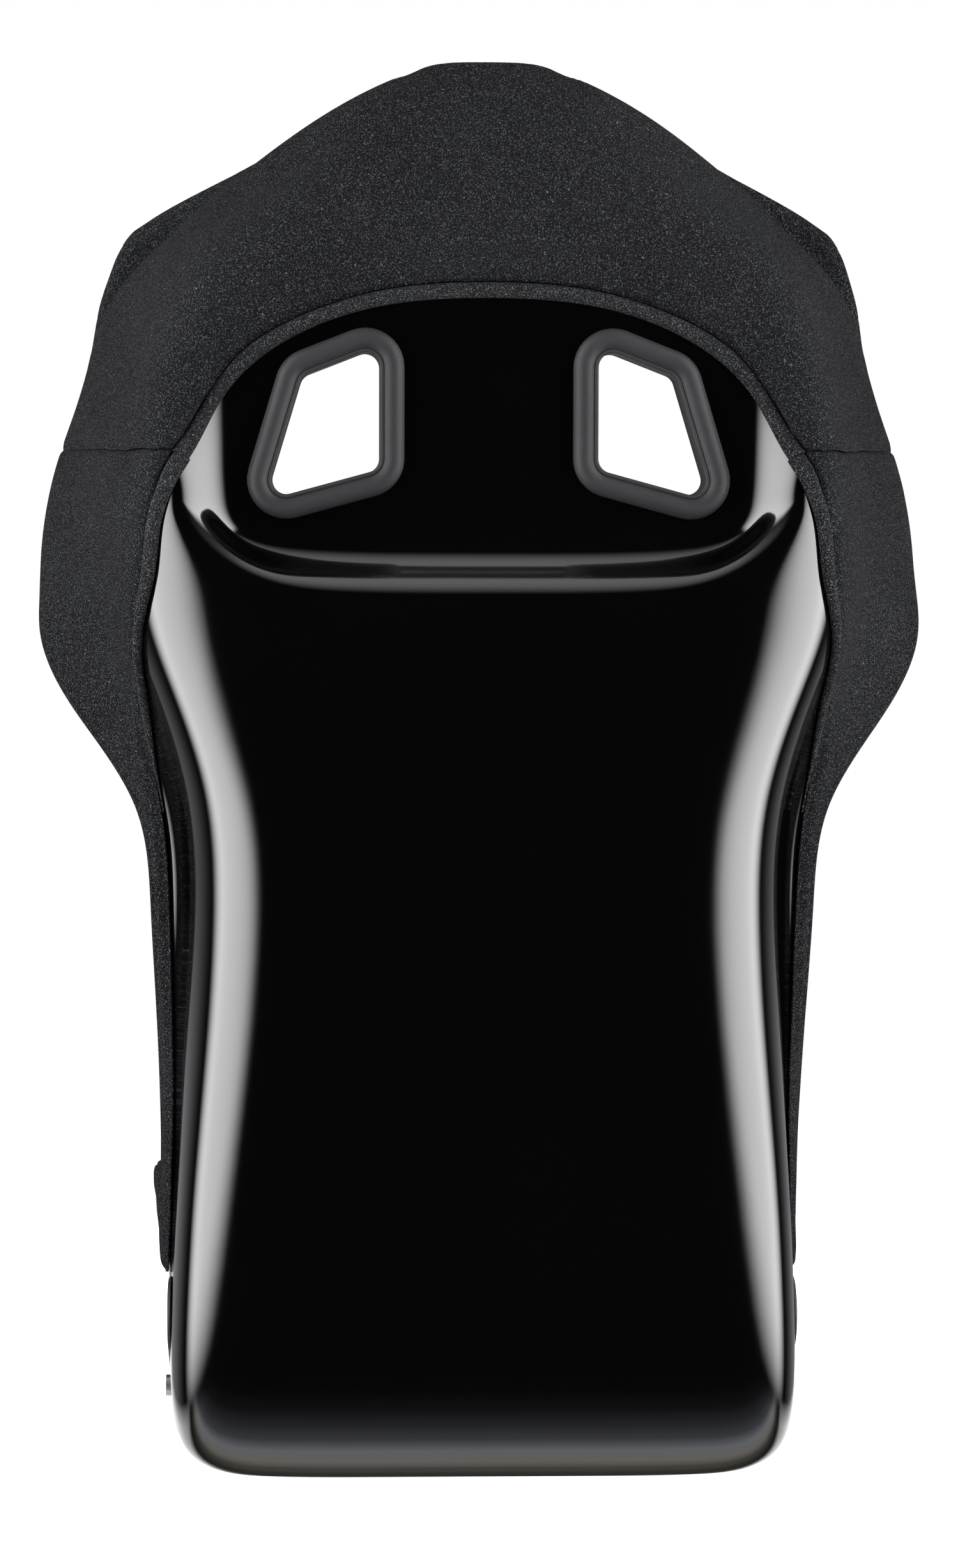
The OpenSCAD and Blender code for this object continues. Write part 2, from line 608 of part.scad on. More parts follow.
harness_deep = shell_t + gap + upper_pad_t;
module harness_bezel_rear_left() {
    color(trim_color) harness_place() translate([0, 0, 2*gap])
        bezel(harness_corners, harness_r, bezel_w, bezel_h, harness_deep, 4);
}
module harness_bezel_rear_right() { mirror([1, 0, 0]) harness_bezel_rear_left(); }
// Flat surround with a stepped edge, its foot at zero
module flange_plate(centres, r, w, h) {
    difference() {
        union() {
            linear_extrude(height = h*0.6) polygon(outline(centres, r, w, 4));
            linear_extrude(height = h) polygon(outline(centres, r, w - h*0.4, 4));
        }
        translate([0, 0, -1]) linear_extrude(height = h + 2) polygon(outline(centres, r, 0, 4));
    }
}
module harness_bezel_front_left() {
    color(trim_color) harness_place() translate([0, 0, -harness_deep - 0.3]) mirror([0, 0, 1])
        flange_plate(harness_corners, harness_r, bezel_w - 3, bezel_h*0.5);
}
module harness_bezel_front_right() { mirror([1, 0, 0]) harness_bezel_front_left(); }

lap_stand = 1.6;
lap_deep = shell_t + gap + bolster_t;
module lap_bezel_outer_left() {
    color(trim_color) lap_place() translate([0, 0, lap_stand])
        bezel(lap_corners, lap_w/2, lap_bezel_w, bezel_h*0.6, lap_deep, 4);
}
module lap_bezel_outer_right() { mirror([1, 0, 0]) lap_bezel_outer_left(); }
module lap_bezel_inner_left() {
    color(trim_color) lap_place() translate([0, 0, lap_stand - lap_deep - 0.3]) mirror([0, 0, 1])
        flange_plate(lap_corners, lap_w/2, lap_bezel_w, bezel_h*0.4);
}
module lap_bezel_inner_right() { mirror([1, 0, 0]) lap_bezel_inner_left(); }
module crotch_bezel() {
    color(trim_color) difference() {
        union() {
            crotch_place() translate([0, 0, -shell_t - 0.3]) mirror([0, 0, 1])
                flange_plate(crotch_corners, crotch_l/2, bezel_w*0.5, bezel_h*0.4);
            crotch_place() translate([0, 0, -shell_t - 1])
                linear_extrude(height = shell_t + 0.7) polygon(outline(crotch_corners, crotch_l/2, sleeve_t, 4));
        }
        crotch_place() slot_prism(crotch_corners, crotch_l/2, 0, 60);
    }
}

// ---------- whole seat ----------

shell();
cover_head();
cover_shoulder_left();
cover_shoulder_right();
cover_flank_left();
cover_flank_right();
cover_front();
hem_head();
hem_left();
hem_right();
harness_bezel_rear_left();
harness_bezel_rear_right();
harness_bezel_front_left();
harness_bezel_front_right();
lap_bezel_outer_left();
lap_bezel_outer_right();
lap_bezel_inner_left();
lap_bezel_inner_right();
crotch_bezel();
head_pad();
head_side_pad_left();
head_side_pad_right();
upper_back_pad();
shoulder_pad_left();
shoulder_pad_right();
torso_bolster_left();
torso_bolster_right();
back_cushion();
seat_cushion();
leg_cushion();
thigh_pad_left();
thigh_pad_right();
mount_inserts();
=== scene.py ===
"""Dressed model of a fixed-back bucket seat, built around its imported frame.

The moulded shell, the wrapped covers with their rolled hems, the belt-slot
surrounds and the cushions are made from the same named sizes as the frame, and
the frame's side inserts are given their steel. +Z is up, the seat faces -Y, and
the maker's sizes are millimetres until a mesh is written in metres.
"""

import json
import logging
import math
from contextlib import contextmanager
from dataclasses import dataclass, replace
from enum import Enum
from functools import partial, reduce
from typing import Callable, Iterable, Iterator, Sequence

import bmesh
import bpy
import numpy as np
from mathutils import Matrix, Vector
from mathutils.kdtree import KDTree

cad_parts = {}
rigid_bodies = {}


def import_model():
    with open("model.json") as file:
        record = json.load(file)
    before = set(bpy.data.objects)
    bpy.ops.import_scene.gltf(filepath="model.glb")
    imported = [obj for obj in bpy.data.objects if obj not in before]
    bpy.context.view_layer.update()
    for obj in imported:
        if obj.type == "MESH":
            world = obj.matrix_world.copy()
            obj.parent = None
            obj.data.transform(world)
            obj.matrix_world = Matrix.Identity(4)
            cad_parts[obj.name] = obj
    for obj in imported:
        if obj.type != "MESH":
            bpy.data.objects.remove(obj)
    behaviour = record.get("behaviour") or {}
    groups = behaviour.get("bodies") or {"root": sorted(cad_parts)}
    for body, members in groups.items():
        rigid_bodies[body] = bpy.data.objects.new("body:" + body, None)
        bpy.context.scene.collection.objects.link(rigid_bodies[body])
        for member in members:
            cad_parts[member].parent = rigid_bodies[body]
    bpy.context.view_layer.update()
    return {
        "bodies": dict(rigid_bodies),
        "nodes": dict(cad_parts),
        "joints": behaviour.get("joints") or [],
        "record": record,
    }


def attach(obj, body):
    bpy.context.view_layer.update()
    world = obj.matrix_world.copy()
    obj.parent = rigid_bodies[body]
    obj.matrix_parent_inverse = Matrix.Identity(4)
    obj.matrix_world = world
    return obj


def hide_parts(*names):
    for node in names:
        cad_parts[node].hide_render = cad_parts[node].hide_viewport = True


log = logging.getLogger("bucket_seat")

MM = 0.001
TINY = 1e-9
OTHER_SIDE = (-1, 1, 1)
UV_NAME = "Cloth"
BODY = "root"

Array = np.ndarray
Material = bpy.types.Material
Mesh = bpy.types.Mesh
Node = bpy.types.Node
NodeTree = bpy.types.NodeTree
Object = bpy.types.Object
Socket = bpy.types.NodeSocket
Place = Callable[[Array, Array], Array]
Pairs = Callable[[Array], tuple[Array, Array]]


class Side(Enum):
    """Side of the seat, as the sitter has it."""

    LEFT = 1
    RIGHT = -1

    @property
    def word(self) -> str:
        """The side's name inside piece and node names."""
        return self.name.lower()

    def of(self, place: Place) -> Place:
        """This side's skin, from the left side's."""
        if self is Side.LEFT:
            return place
        return lambda across, along: place(across, along) * OTHER_SIDE


class Slot(Enum):
    """Material slots of the record."""

    SHELL = "shell"
    COVER = "knit_cover"
    HEM = "hem"
    CUSHION = "cushion"
    SIDE_PAD = "side_pad"
    BEZEL = "bezel"
    INSERT = "insert"


# ---------------------------------------------------------------- sizes and loft


@dataclass(frozen=True)
class SeatSizes:
    """Named sizes of the seat, in millimetres and degrees, as the frame has them."""

    shell_h: float = 903.0
    ledge_h: float = 572.0
    pan_l: float = 470.0
    shoulder_w: float = 572.0
    waist_w: float = 352.0
    hip_w: float = 406.0
    panel_w: float = 344.0
    recline: float = 6.0
    panel_lean: float = 3.6
    ledge_d: float = 31.0
    wing_reach: float = 186.0
    thigh_h: float = 164.0
    shell_t: float = 4.0
    cover_t: float = 3.0
    rim_r: float = 8.0
    gap: float = 0.6
    cover_gap: float = 1.2
    head_cover_gap: float = 3.8
    hem_w: float = 10.0
    hem_h: float = 5.0
    seat_cushion_t: float = 42.0
    leg_cushion_t: float = 34.0
    back_cushion_t: float = 38.0
    upper_pad_t: float = 24.0
    head_pad_t: float = 28.0
    bolster_t: float = 22.0
    bolster_rim_t: float = 9.0
    bezel_w: float = 15.5
    bezel_h: float = 9.0
    sleeve_t: float = 2.5
    lap_l: float = 78.0
    lap_w: float = 32.0
    lap_bezel_w: float = 8.0
    crotch_w: float = 78.0
    crotch_l: float = 34.0
    pan_rear: float = 118.0
    foot_z: float = 110.0


def mix(a: Array, b: Array, t: Array) -> Array:
    """Straight blend from a to b."""
    return a + (b - a) * t


def unit(v: Array) -> Array:
    """Rows of v at length one."""
    return v / np.maximum(np.linalg.norm(v, axis=-1, keepdims=True), TINY)


def bump(x: Array, width: float) -> Array:
    """Smooth hump of height one at x = 0 that is gone by about two widths."""
    return np.exp(-((x / width) ** 2))


def cubic_weights(t: Array) -> Array:
    """Uniform cubic B-spline weights at t, shape (N, 4)."""
    inner = 3 * t**3 - 6 * t**2 + 4, -3 * t**3 + 3 * t**2 + 3 * t + 1
    return np.stack([(1 - t) ** 3, *inner, t**3], -1) / 6


def cubic_slopes(t: Array) -> Array:
    """Slopes of the uniform cubic weights at t, shape (N, 4)."""
    return np.stack([-((1 - t) ** 2), 3 * t**2 - 4 * t, -3 * t**2 + 2 * t + 1, t**2], -1) / 2


def knot_curve(knots: Sequence, t: Array) -> Array:
    """Clamped cubic curve through a list of knots.

    Args:
        knots: Numbers or points, one for each whole t.
        t: Places along the list.

    Returns:
        The curve's values, shape (N,) or (N, dims).
    """
    k = np.asarray(knots, float)
    flat = k.ndim == 1
    k = k[:, None] if flat else k
    net = np.concatenate([[2 * k[0] - k[1]], k, [2 * k[-1] - k[-2]]])
    i = np.clip(np.floor(t).astype(int), 0, len(k) - 2)
    w = cubic_weights(t - i)
    out = np.einsum("ni,nic->nc", w, net[i[:, None] + np.arange(4)])
    return out[:, 0] if flat else out


class SeatLoft:
    """Outer face of the shell, lofted through its sections.

    A place on it is (u, v): the column across, from 0 at the middle to 6 at the rim,
    and the section along, from 0 at the front lip to 25 at the head. The heel is how far
    the lower back's face stands behind the pan's rear.
    """

    RIM_U = 6
    TOP_V = 25
    CORNER = 0.45
    HEEL = 40

    def __init__(self, sizes: SeatSizes) -> None:
        """Builds the control net from the sizes."""
        self.sizes = sizes
        s = sizes
        self.pan_front = s.pan_rear - s.pan_l
        self.y_mid = (self.pan_front - s.rim_r + self.back_y(s.ledge_h)) / 2
        self.leans: Array = np.zeros(0)
        self.net = self._net()

    def back_y(self, z: float) -> float:
        """Rear face of the lower back at a height."""
        s = self.sizes
        return s.pan_rear + self.HEEL + (z - s.foot_z) * math.tan(math.radians(s.recline))

    def panel_y(self, z: float) -> float:
        """Rear face of the upper panel at a height."""
        s = self.sizes
        slope = math.tan(math.radians(s.panel_lean))
        return self.back_y(s.ledge_h) - s.ledge_d + (z - s.ledge_h) * slope

    def _sections(self) -> list[tuple]:
        """Section rows from the front lip to the head.

        Each has its centre's y and z, its walls' lean, the half widths of its two flats,
        then its corner, wall and rim as (half width, reach), and any rises of its columns.
        """
        s = self.sizes
        hip, waist, wing, panel = s.hip_w / 2, s.waist_w / 2, s.shoulder_w / 2, s.panel_w / 2
        rear, reach, thigh = s.pan_rear, s.wing_reach, s.thigh_h

        def low(t: float) -> float:
            return s.foot_z + (s.ledge_h - s.foot_z) * t

        def high(t: float) -> float:
            return s.ledge_h + (s.shell_h - s.ledge_h) * t

        def back(t: float) -> tuple[float, float]:
            return self.back_y(low(t)), low(t)

        def panel_at(t: float) -> tuple[float, float]:
            return self.panel_y(high(t)), high(t)

        head = self.panel_y(high(0.69))
        return [
            (self.pan_front, 50, 80, 60, 120, (hip - 8, 6), (hip + 1, 42), (hip + 6, 64)),
            (self.pan_front + 34, 34, 82, 62, 124, (hip - 4, 0), (hip + 3, 62),
             (hip + 12, thigh - 64)),
            (self.pan_front + 112, 12, 86, 64, 128, (hip - 1, 5), (hip + 4, 82),
             (hip + 14, thigh - 26)),
            (rear - 268, 0, 90, 66, 132, (hip, 6), (hip + 4, 92), (hip + 13, thigh)),
            (rear - 188, 0, 97, 68, 134, (hip, 6), (hip + 3, 96), (hip + 12, thigh + 22)),
            (rear - 118, 0, 107, 68, 134, (hip, 6), (hip + 2, 100), (hip + 9, thigh + 34)),
            (rear - 56, 0, 120, 68, 134, (hip, 6), (hip + 2, 102), (hip + 7, thigh + 40)),
            (rear, 2, 133, 68, 134, (hip, 4), (hip + 1, 104), (hip + 5, thigh + 42)),
            (rear + 28, 40, 145, 66, 132, (hip - 1, 0), (hip, 100), (hip + 4, thigh + 24)),
            (*back(0), 157, 62, 126, (hip - 3, 0), (hip - 2, 96), (hip + 3, 172)),
            (*back(0.173), 168, 60, 122, (hip - 8, 0), (hip - 6, 92), (hip + 2, 146)),
            (*back(0.368), 175, 58, 118, (waist + 7, 0), (waist + 19, 94), (waist + 30, 122)),
            (*back(0.563), 180, 57, 114, (waist - 2, 0), (waist + 15, 88), (waist + 34, 108)),
            (*back(0.714), 180, 59, 118, (waist + 1, 0), (waist + 17, 88), (wing - 74, 114)),
            (*back(0.855), 180, 68, 134, (waist + 27, 0), (wing - 72, 92), (wing - 20, 148)),
            (*back(0.942), 180, 76, 144, (wing - 62, 0), (wing - 54, 104),
             (wing, reach - 14), (0, 2, 10)),
            (*back(1), 180, 100, 150, (wing - 62, -2), (wing - 50, 100),
             (wing - 1, reach - 2), (0, 9, 54)),
            (*panel_at(0.06), 180, 146, panel - 6, (panel + 38, -34), (wing - 48, 72),
             (wing + 1, reach + 2), (0, 14, 56)),
            (*panel_at(0.14), 180, 154, panel + 1, (panel + 37, -38), (wing - 50, 60),
             (wing, reach + 6), (0, 9, 42)),
            (*panel_at(0.26), 180, 154, panel + 1, (panel + 34, -30), (wing - 56, 58),
             (wing - 7, reach + 9), (0, 2, 16)),
            (*panel_at(0.40), 183, 150, panel - 2, (panel + 29, -14), (wing - 64, 64),
             (wing - 21, reach + 8)),
            (*panel_at(0.545), 190, 132, panel - 14, (panel + 20, 0), (wing - 70, 82),
             (wing - 29, reach + 8)),
            (head - 3, high(0.69), 197, 84, 132, (panel + 2, 18), (wing - 69, 100),
             (wing - 34, reach + 19)),
            (head - 18, high(0.834), 208, 46, 79, (panel - 46, 37), (wing - 73, 113),
             (wing - 37, reach + 7), (0, 0, -3)),
            (head - 34, high(0.93), 218, 26, 54, (panel - 56, 18), (wing - 92, 123),
             (wing - 43, reach - 10), (1, 11, 3)),
            (head - 48, s.shell_h, 226, 18, 40, (panel - 114, 30), (wing - 88, 114),
             (wing - 57, reach - 46), (0, -1, 9)),
        ]

    def _net(self) -> Array:
        """Control points of the loft, shape (28, 9, 3)."""
        rows = []
        leans = []
        for y, z, lean, a, b, box, wall, rim, *rise in self._sections():
            reach = np.array([0.0, math.cos(math.radians(lean)), math.sin(math.radians(lean))])
            half = (wall[0] + rim[0]) / 2, (wall[1] + rim[1]) / 2
            marks = [(0, 0), (a, 0), (b, 0), box, wall, half, rim]
            row = np.array([[m[0], y - self.y_mid, z] + m[1] * reach for m in marks])
            if rise:
                row[1 : 1 + len(rise[0]), 2] += rise[0]
            first = row[1] * OTHER_SIDE
            rows.append(np.vstack([first, row, 2 * row[-1] - row[-2]]))
            leans.append(lean)
        self.leans = np.array([2 * leans[0] - leans[1], *leans, 2 * leans[-1] - leans[-2]], float)
        net = np.array(rows)
        return np.concatenate([[2 * net[0] - net[1]], net, [2 * net[-1] - net[-2]]])

    def skin(self, u: Array, v: Array) -> tuple[Array, Array]:
        """Points and outward normals of the outer face.

        Args:
            u: Columns across, negative on the right.
            v: Sections along.

        Returns:
            Points and normals, each of shape (N, 3), in millimetres.
        """
        u, v = np.broadcast_arrays(np.asarray(u, float), np.asarray(v, float))
        au, v = self._rounded(np.abs(u), v)
        k = np.clip(np.floor(v).astype(int), 0, self.TOP_V - 1)
        c = np.clip(np.floor(au).astype(int), 0, self.RIM_U - 1)
        a, da = cubic_weights(v - k), cubic_slopes(v - k)
        b, db = cubic_weights(au - c), cubic_slopes(au - c)
        four = np.arange(4)
        patch = self.net[(k[:, None] + four)[:, :, None], (c[:, None] + four)[:, None, :]]
        point = np.einsum("ni,nj,nijc->nc", a, b, patch)
        along_v = np.einsum("ni,nj,nijc->nc", da, b, patch)
        along_u = np.einsum("ni,nj,nijc->nc", a, db, patch)
        normal = unit(np.cross(along_v, along_u))
        flip = np.where(u < 0, -1.0, 1.0)
        point[:, 0] *= flip
        normal[:, 0] *= flip
        return point, normal

    def _rounded(self, u: Array, v: Array) -> tuple[Array, Array]:
        """Draws the square upper corners of the net in to round ones."""
        a = (u - self.RIM_U) / self.CORNER + 1
        b = (v - self.TOP_V) / self.CORNER + 1
        at = (a > 0) & (b > 0)
        pull = np.where(at, np.maximum(a, b) / np.maximum(np.hypot(a, b), TINY), 1.0)
        return (
            np.where(at, self.RIM_U + (a * pull - 1) * self.CORNER, u),
            np.where(at, self.TOP_V + (b * pull - 1) * self.CORNER, v),
        )

    def place(self, u: Array, v: Array, d: Array | float) -> Array:
        """Points a distance d out of the outer face."""
        point, normal = self.skin(u, v)
        return point + normal * np.broadcast_to(np.asarray(d, float), (len(point),))[:, None]

    def lean_at(self, v: Array) -> Array:
        """Lean of the walls at a section, degrees."""
        k = np.clip(np.floor(v).astype(int), 0, self.TOP_V - 1)
        return np.einsum("ni,ni->n", cubic_weights(v - k), self.leans[k[:, None] + np.arange(4)])

    def out_of_rim(self, u: Array, v: Array) -> Array:
        """Ways out of the shell at its rim, square to it and turning evenly round the corners."""
        normal = self.skin(u, v)[1]

        def square(along: Array, back: Array) -> Array:
            way = unit(np.cross(along, normal))
            sign = np.sign(np.einsum("nc,nc->n", way, self.place(u, v, 0) - back))
            return way * np.where(sign == 0, 1, sign)[:, None]

        v0, v1 = np.maximum(0, v - 0.05), np.minimum(self.TOP_V, v + 0.05)
        side = square(self.place(u, v1, 0) - self.place(u, v0, 0), self.place(u * 0.99, v, 0))
        u0, u1 = np.maximum(-self.RIM_U, u - 0.05), np.minimum(self.RIM_U, u + 0.05)
        inward = np.where(v > self.TOP_V / 2, v - 0.06, v + 0.06)
        end = square(self.place(u1, v, 0) - self.place(u0, v, 0), self.place(u, inward, 0))
        from_end = np.minimum(v, self.TOP_V - v)
        on_side = np.abs(u) > self.RIM_U - 0.01
        share = np.where(
            on_side,
            0.5 * np.maximum(0, 1 - from_end / 2.0),
            1 - 0.5 * np.maximum(0, 1 - (self.RIM_U - np.abs(u)) / 2.0),
        )
        return unit(mix(side, end, share[:, None]))


# ---------------------------------------------------------------- mesh smithing


@contextmanager
def editing(mesh: Mesh) -> Iterator[bmesh.types.BMesh]:
    """Opens a mesh to bmesh operators, then writes it back."""
    bm = bmesh.new()
    bm.from_mesh(mesh)
    yield bm
    bm.to_mesh(mesh)
    bm.free()


def grid_mesh(
    name: str,
    columns: Array,
    rows: Array,
    place: Place,
    outward: bool = True,
    closed: bool = False,
) -> Object:
    """Bends a flat grid into a skin.

    Args:
        name: The object's name.
        columns: Values across the grid.
        rows: Values along the grid.
        place: Gives points in millimetres for arrays of column and row values.
        outward: Whether column cross row already points out of the piece.
        closed: Whether the grid's ends meet, so that its double points are joined.

    Returns:
        The new object, with a UV map in metres along the skin.
    """
    mesh = bpy.data.meshes.new(name)
    with editing(mesh) as bm:
        bmesh.ops.create_grid(bm, x_segments=len(columns) - 1, y_segments=len(rows) - 1, size=1.0)
        if not outward:
            bmesh.ops.reverse_faces(bm, faces=bm.faces)
    flat = read_points(mesh) * MM
    i = np.rint((flat[:, 0] + 1) / 2 * (len(columns) - 1)).astype(int)
    j = np.rint((flat[:, 1] + 1) / 2 * (len(rows) - 1)).astype(int)
    points = place(columns[i], rows[j])
    write_points(mesh, points)
    spread = np.zeros((len(rows), len(columns), 3))
    spread[j, i] = points * MM
    across = np.linalg.norm(np.diff(spread, axis=1, prepend=spread[:, :1]), axis=2).cumsum(axis=1)
    along = np.linalg.norm(np.diff(spread, axis=0, prepend=spread[:1]), axis=2)
    along = along.mean(axis=1).cumsum()
    corner = np.empty(len(mesh.loops), int)
    mesh.loops.foreach_get("vertex_index", corner)
    layer = mesh.uv_layers.new(name=UV_NAME)
    layer.data.foreach_set("uv", np.stack([across[j, i], along[j]], -1)[corner].ravel())
    if closed:
        with editing(mesh) as bm:
            bmesh.ops.remove_doubles(bm, verts=bm.verts, dist=1e-6)
    mesh.update()
    return shown(name, mesh)


def shown(name: str, mesh: Mesh) -> Object:
    """Puts a mesh in the scene as a smooth-shaded object."""
    mesh.polygons.foreach_set("use_smooth", np.ones(len(mesh.polygons), bool))
    return linked(name, mesh)


def linked(name: str, data: bpy.types.ID) -> Object:
    """Puts an object with that data in the scene."""
    thing = bpy.data.objects.new(name, data)
    bpy.context.scene.collection.objects.link(thing)
    return thing


def removed(piece: Object) -> None:
    """Takes a helper object and its mesh away again."""
    mesh = piece.data
    bpy.data.objects.remove(piece)
    bpy.data.meshes.remove(mesh)


def read_points(mesh: Mesh, key: str = "co", unit_length: float = MM) -> Array:
    """The mesh's points in millimetres, or another value of its vertices as it is."""
    flat = np.empty(len(mesh.vertices) * 3)
    mesh.vertices.foreach_get(key, flat)
    return flat.reshape(-1, 3) / unit_length


def write_points(mesh: Mesh, points: Array) -> None:
    """Sets the mesh's points from millimetres."""
    mesh.vertices.foreach_set("co", (points * MM).ravel())
    mesh.update()


def nearest_marks(marks: Array, points: Array) -> tuple[Array, Array]:
    """Number of the mark nearest to each point, and the distance to it."""
    tree = KDTree(len(marks))
    for k, mark in enumerate(marks):
        tree.insert(mark, k)
    tree.balance()
    found = [tree.find(point) for point in points]
    return np.array([f[1] for f in found]), np.array([f[2] for f in found])


def thicken(piece: Object, thickness: float) -> None:
    """Gives a skin a wall of that thickness in millimetres, inward."""
    wall = piece.modifiers.new("Wall", "SOLIDIFY")
    wall.thickness = thickness * MM
    wall.offset = -1.0
    wall.use_even_offset = False


def sharpen(piece: Object, degrees: float) -> None:
    """Marks the edges that bend more than that as sharp, so that flats stay flat in the shading."""
    with editing(piece.data) as bm:
        for edge in bm.edges:
            if len(edge.link_faces) == 2 and edge.calc_face_angle(0) > math.radians(degrees):
                edge.smooth = False


def close_body(piece: Object) -> None:
    """Caps a piece's open ends and turns its faces outward."""
    with editing(piece.data) as bm:
        open_edges = [e for e in bm.edges if e.is_boundary]
        if open_edges:
            bmesh.ops.holes_fill(bm, edges=open_edges, sides=0)
        bmesh.ops.recalc_face_normals(bm, faces=bm.faces)


def apply_modifiers(piece: Object) -> None:
    """Writes the piece's modifiers into its mesh."""
    graph = bpy.context.evaluated_depsgraph_get()
    graph.update()
    mesh = bpy.data.meshes.new_from_object(piece.evaluated_get(graph))
    old = piece.data
    piece.modifiers.clear()
    piece.data = mesh
    bpy.data.meshes.remove(old)
    mesh.polygons.foreach_set("use_smooth", np.ones(len(mesh.polygons), bool))


def fix_piece(
    piece: Object,
    material: Material,
    replaces: Iterable[str] = (),
) -> Object:
    """Gives a piece its finish and puts it on the body, in place of the frame's solids.

    Args:
        piece: The new piece.
        material: Its finish.
        replaces: Names of the solids that it stands for.

    Returns:
        The same piece.
    """
    piece.data.materials.clear()
    piece.data.materials.append(material)
    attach(piece, BODY)
    names = list(replaces)
    if names:
        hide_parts(*names)
    faces = len(piece.data.polygons)
    log.info("%s: %d faces, stands for %s", piece.name, faces, names or "nothing")
    return piece


# ---------------------------------------------------------------- shader effects


class NodeSmith:
    """Lays out nodes and links in one tree."""

    def __init__(self, tree: NodeTree) -> None:
        """Works on one node tree."""
        self.tree = tree

    def join(self, value: object, socket: Socket) -> None:
        """Links a socket to an input, or gives the input a plain value."""
        if isinstance(value, Socket):
            self.tree.links.new(value, socket)
        else:
            socket.default_value = value

    def feed(self, node: Node, **settings: object) -> Node:
        """Sets a node's own settings, and its inputs where a key names one."""
        for key, value in settings.items():
            if hasattr(node, key):
                setattr(node, key, value)
            else:
                self.join(value, node.inputs[key.replace("_", " ")])
        return node

    def add(self, kind: str, **settings: object) -> Node:
        """Adds a node with its settings and inputs."""
        return self.feed(self.tree.nodes.new(kind), **settings)

    def use(self, group: NodeTree, **values: object) -> Node:
        """Places a shared group with its own values."""
        return self.add("ShaderNodeGroup", node_tree=group, **values)

    def math(self, operation: str, a: object, b: object = 0.0, clamp: bool = False) -> Socket:
        """Adds a maths node fed by sockets or numbers and returns its output."""
        node = self.add("ShaderNodeMath", operation=operation, use_clamp=clamp)
        for value, socket in zip((a, b), node.inputs):
            self.join(value, socket)
        return node.outputs[0]

    def ramp(self, source: Socket, low: float, high: float, **settings: object) -> Socket:
        """Spreads low to high over 0 to 1."""
        node = self.add("ShaderNodeMapRange", Value=source, From_Min=low, From_Max=high, **settings)
        return node.outputs["Result"]

    def noise(self, vector: Socket, scale: object, **settings: object) -> Socket:
        """Adds a noise and returns its grey value."""
        return self.add("ShaderNodeTexNoise", Vector=vector, Scale=scale, **settings).outputs["Fac"]

    def relief(self, height: Socket, strength: float, distance: float) -> Socket:
        """Turns a height into a bumped normal."""
        node = self.add("ShaderNodeBump", Strength=strength, Distance=distance, Height=height)
        return node.outputs["Normal"]

    def parts(self, vector: Socket) -> bpy.types.NodeOutputs:
        """The X, Y and Z of a vector."""
        return self.add("ShaderNodeSeparateXYZ", Vector=vector).outputs

    def place(self, kind: str = "Object") -> Socket:
        """Texture coordinates of a kind."""
        return self.add("ShaderNodeTexCoord").outputs[kind]

    def two_tone(self, mask: Socket, dark: Sequence[float], light: Sequence[float]) -> Socket:
        """Colour that goes from dark to light with the mask."""
        blend = self.add("ShaderNodeMix", data_type="RGBA")
        colours = [s for s in blend.inputs if s.type == "RGBA"]
        for socket, colour in zip(colours, (dark, light)):
            socket.default_value = (*colour, 1)
        self.join(mask, blend.inputs[0])
        return next(s for s in blend.outputs if s.type == "RGBA")

    def blend(self, share: Socket, first: Node, second: Node) -> Node:
        """Mixes the outputs of two shader nodes."""
        node = self.add("ShaderNodeMixShader")
        for value, socket in zip((share, first.outputs[0], second.outputs[0]), node.inputs):
            self.join(value, socket)
        return node


def new_group(
    name: str, inputs: dict[str, float], outputs: Sequence[str]
) -> tuple[NodeSmith, dict, dict]:
    """Starts a shader group.

    Args:
        name: The group's name.
        inputs: Float inputs with their defaults; one named Vector is a vector.
        outputs: Names of its float outputs.

    Returns:
        The helper on its tree, its input sockets and its output sockets by name.
    """
    group = bpy.data.node_groups.new(name, "ShaderNodeTree")
    for key, value in inputs.items():
        kind = "NodeSocketVector" if key == "Vector" else "NodeSocketFloat"
        socket = group.interface.new_socket(key, in_out="INPUT", socket_type=kind)
        if key != "Vector":
            socket.default_value = value
    for key in outputs:
        group.interface.new_socket(key, in_out="OUTPUT", socket_type="NodeSocketFloat")
    start = group.nodes.new("NodeGroupInput")
    end = group.nodes.new("NodeGroupOutput")
    return NodeSmith(group), {s.name: s for s in start.outputs}, {s.name: s for s in end.inputs}


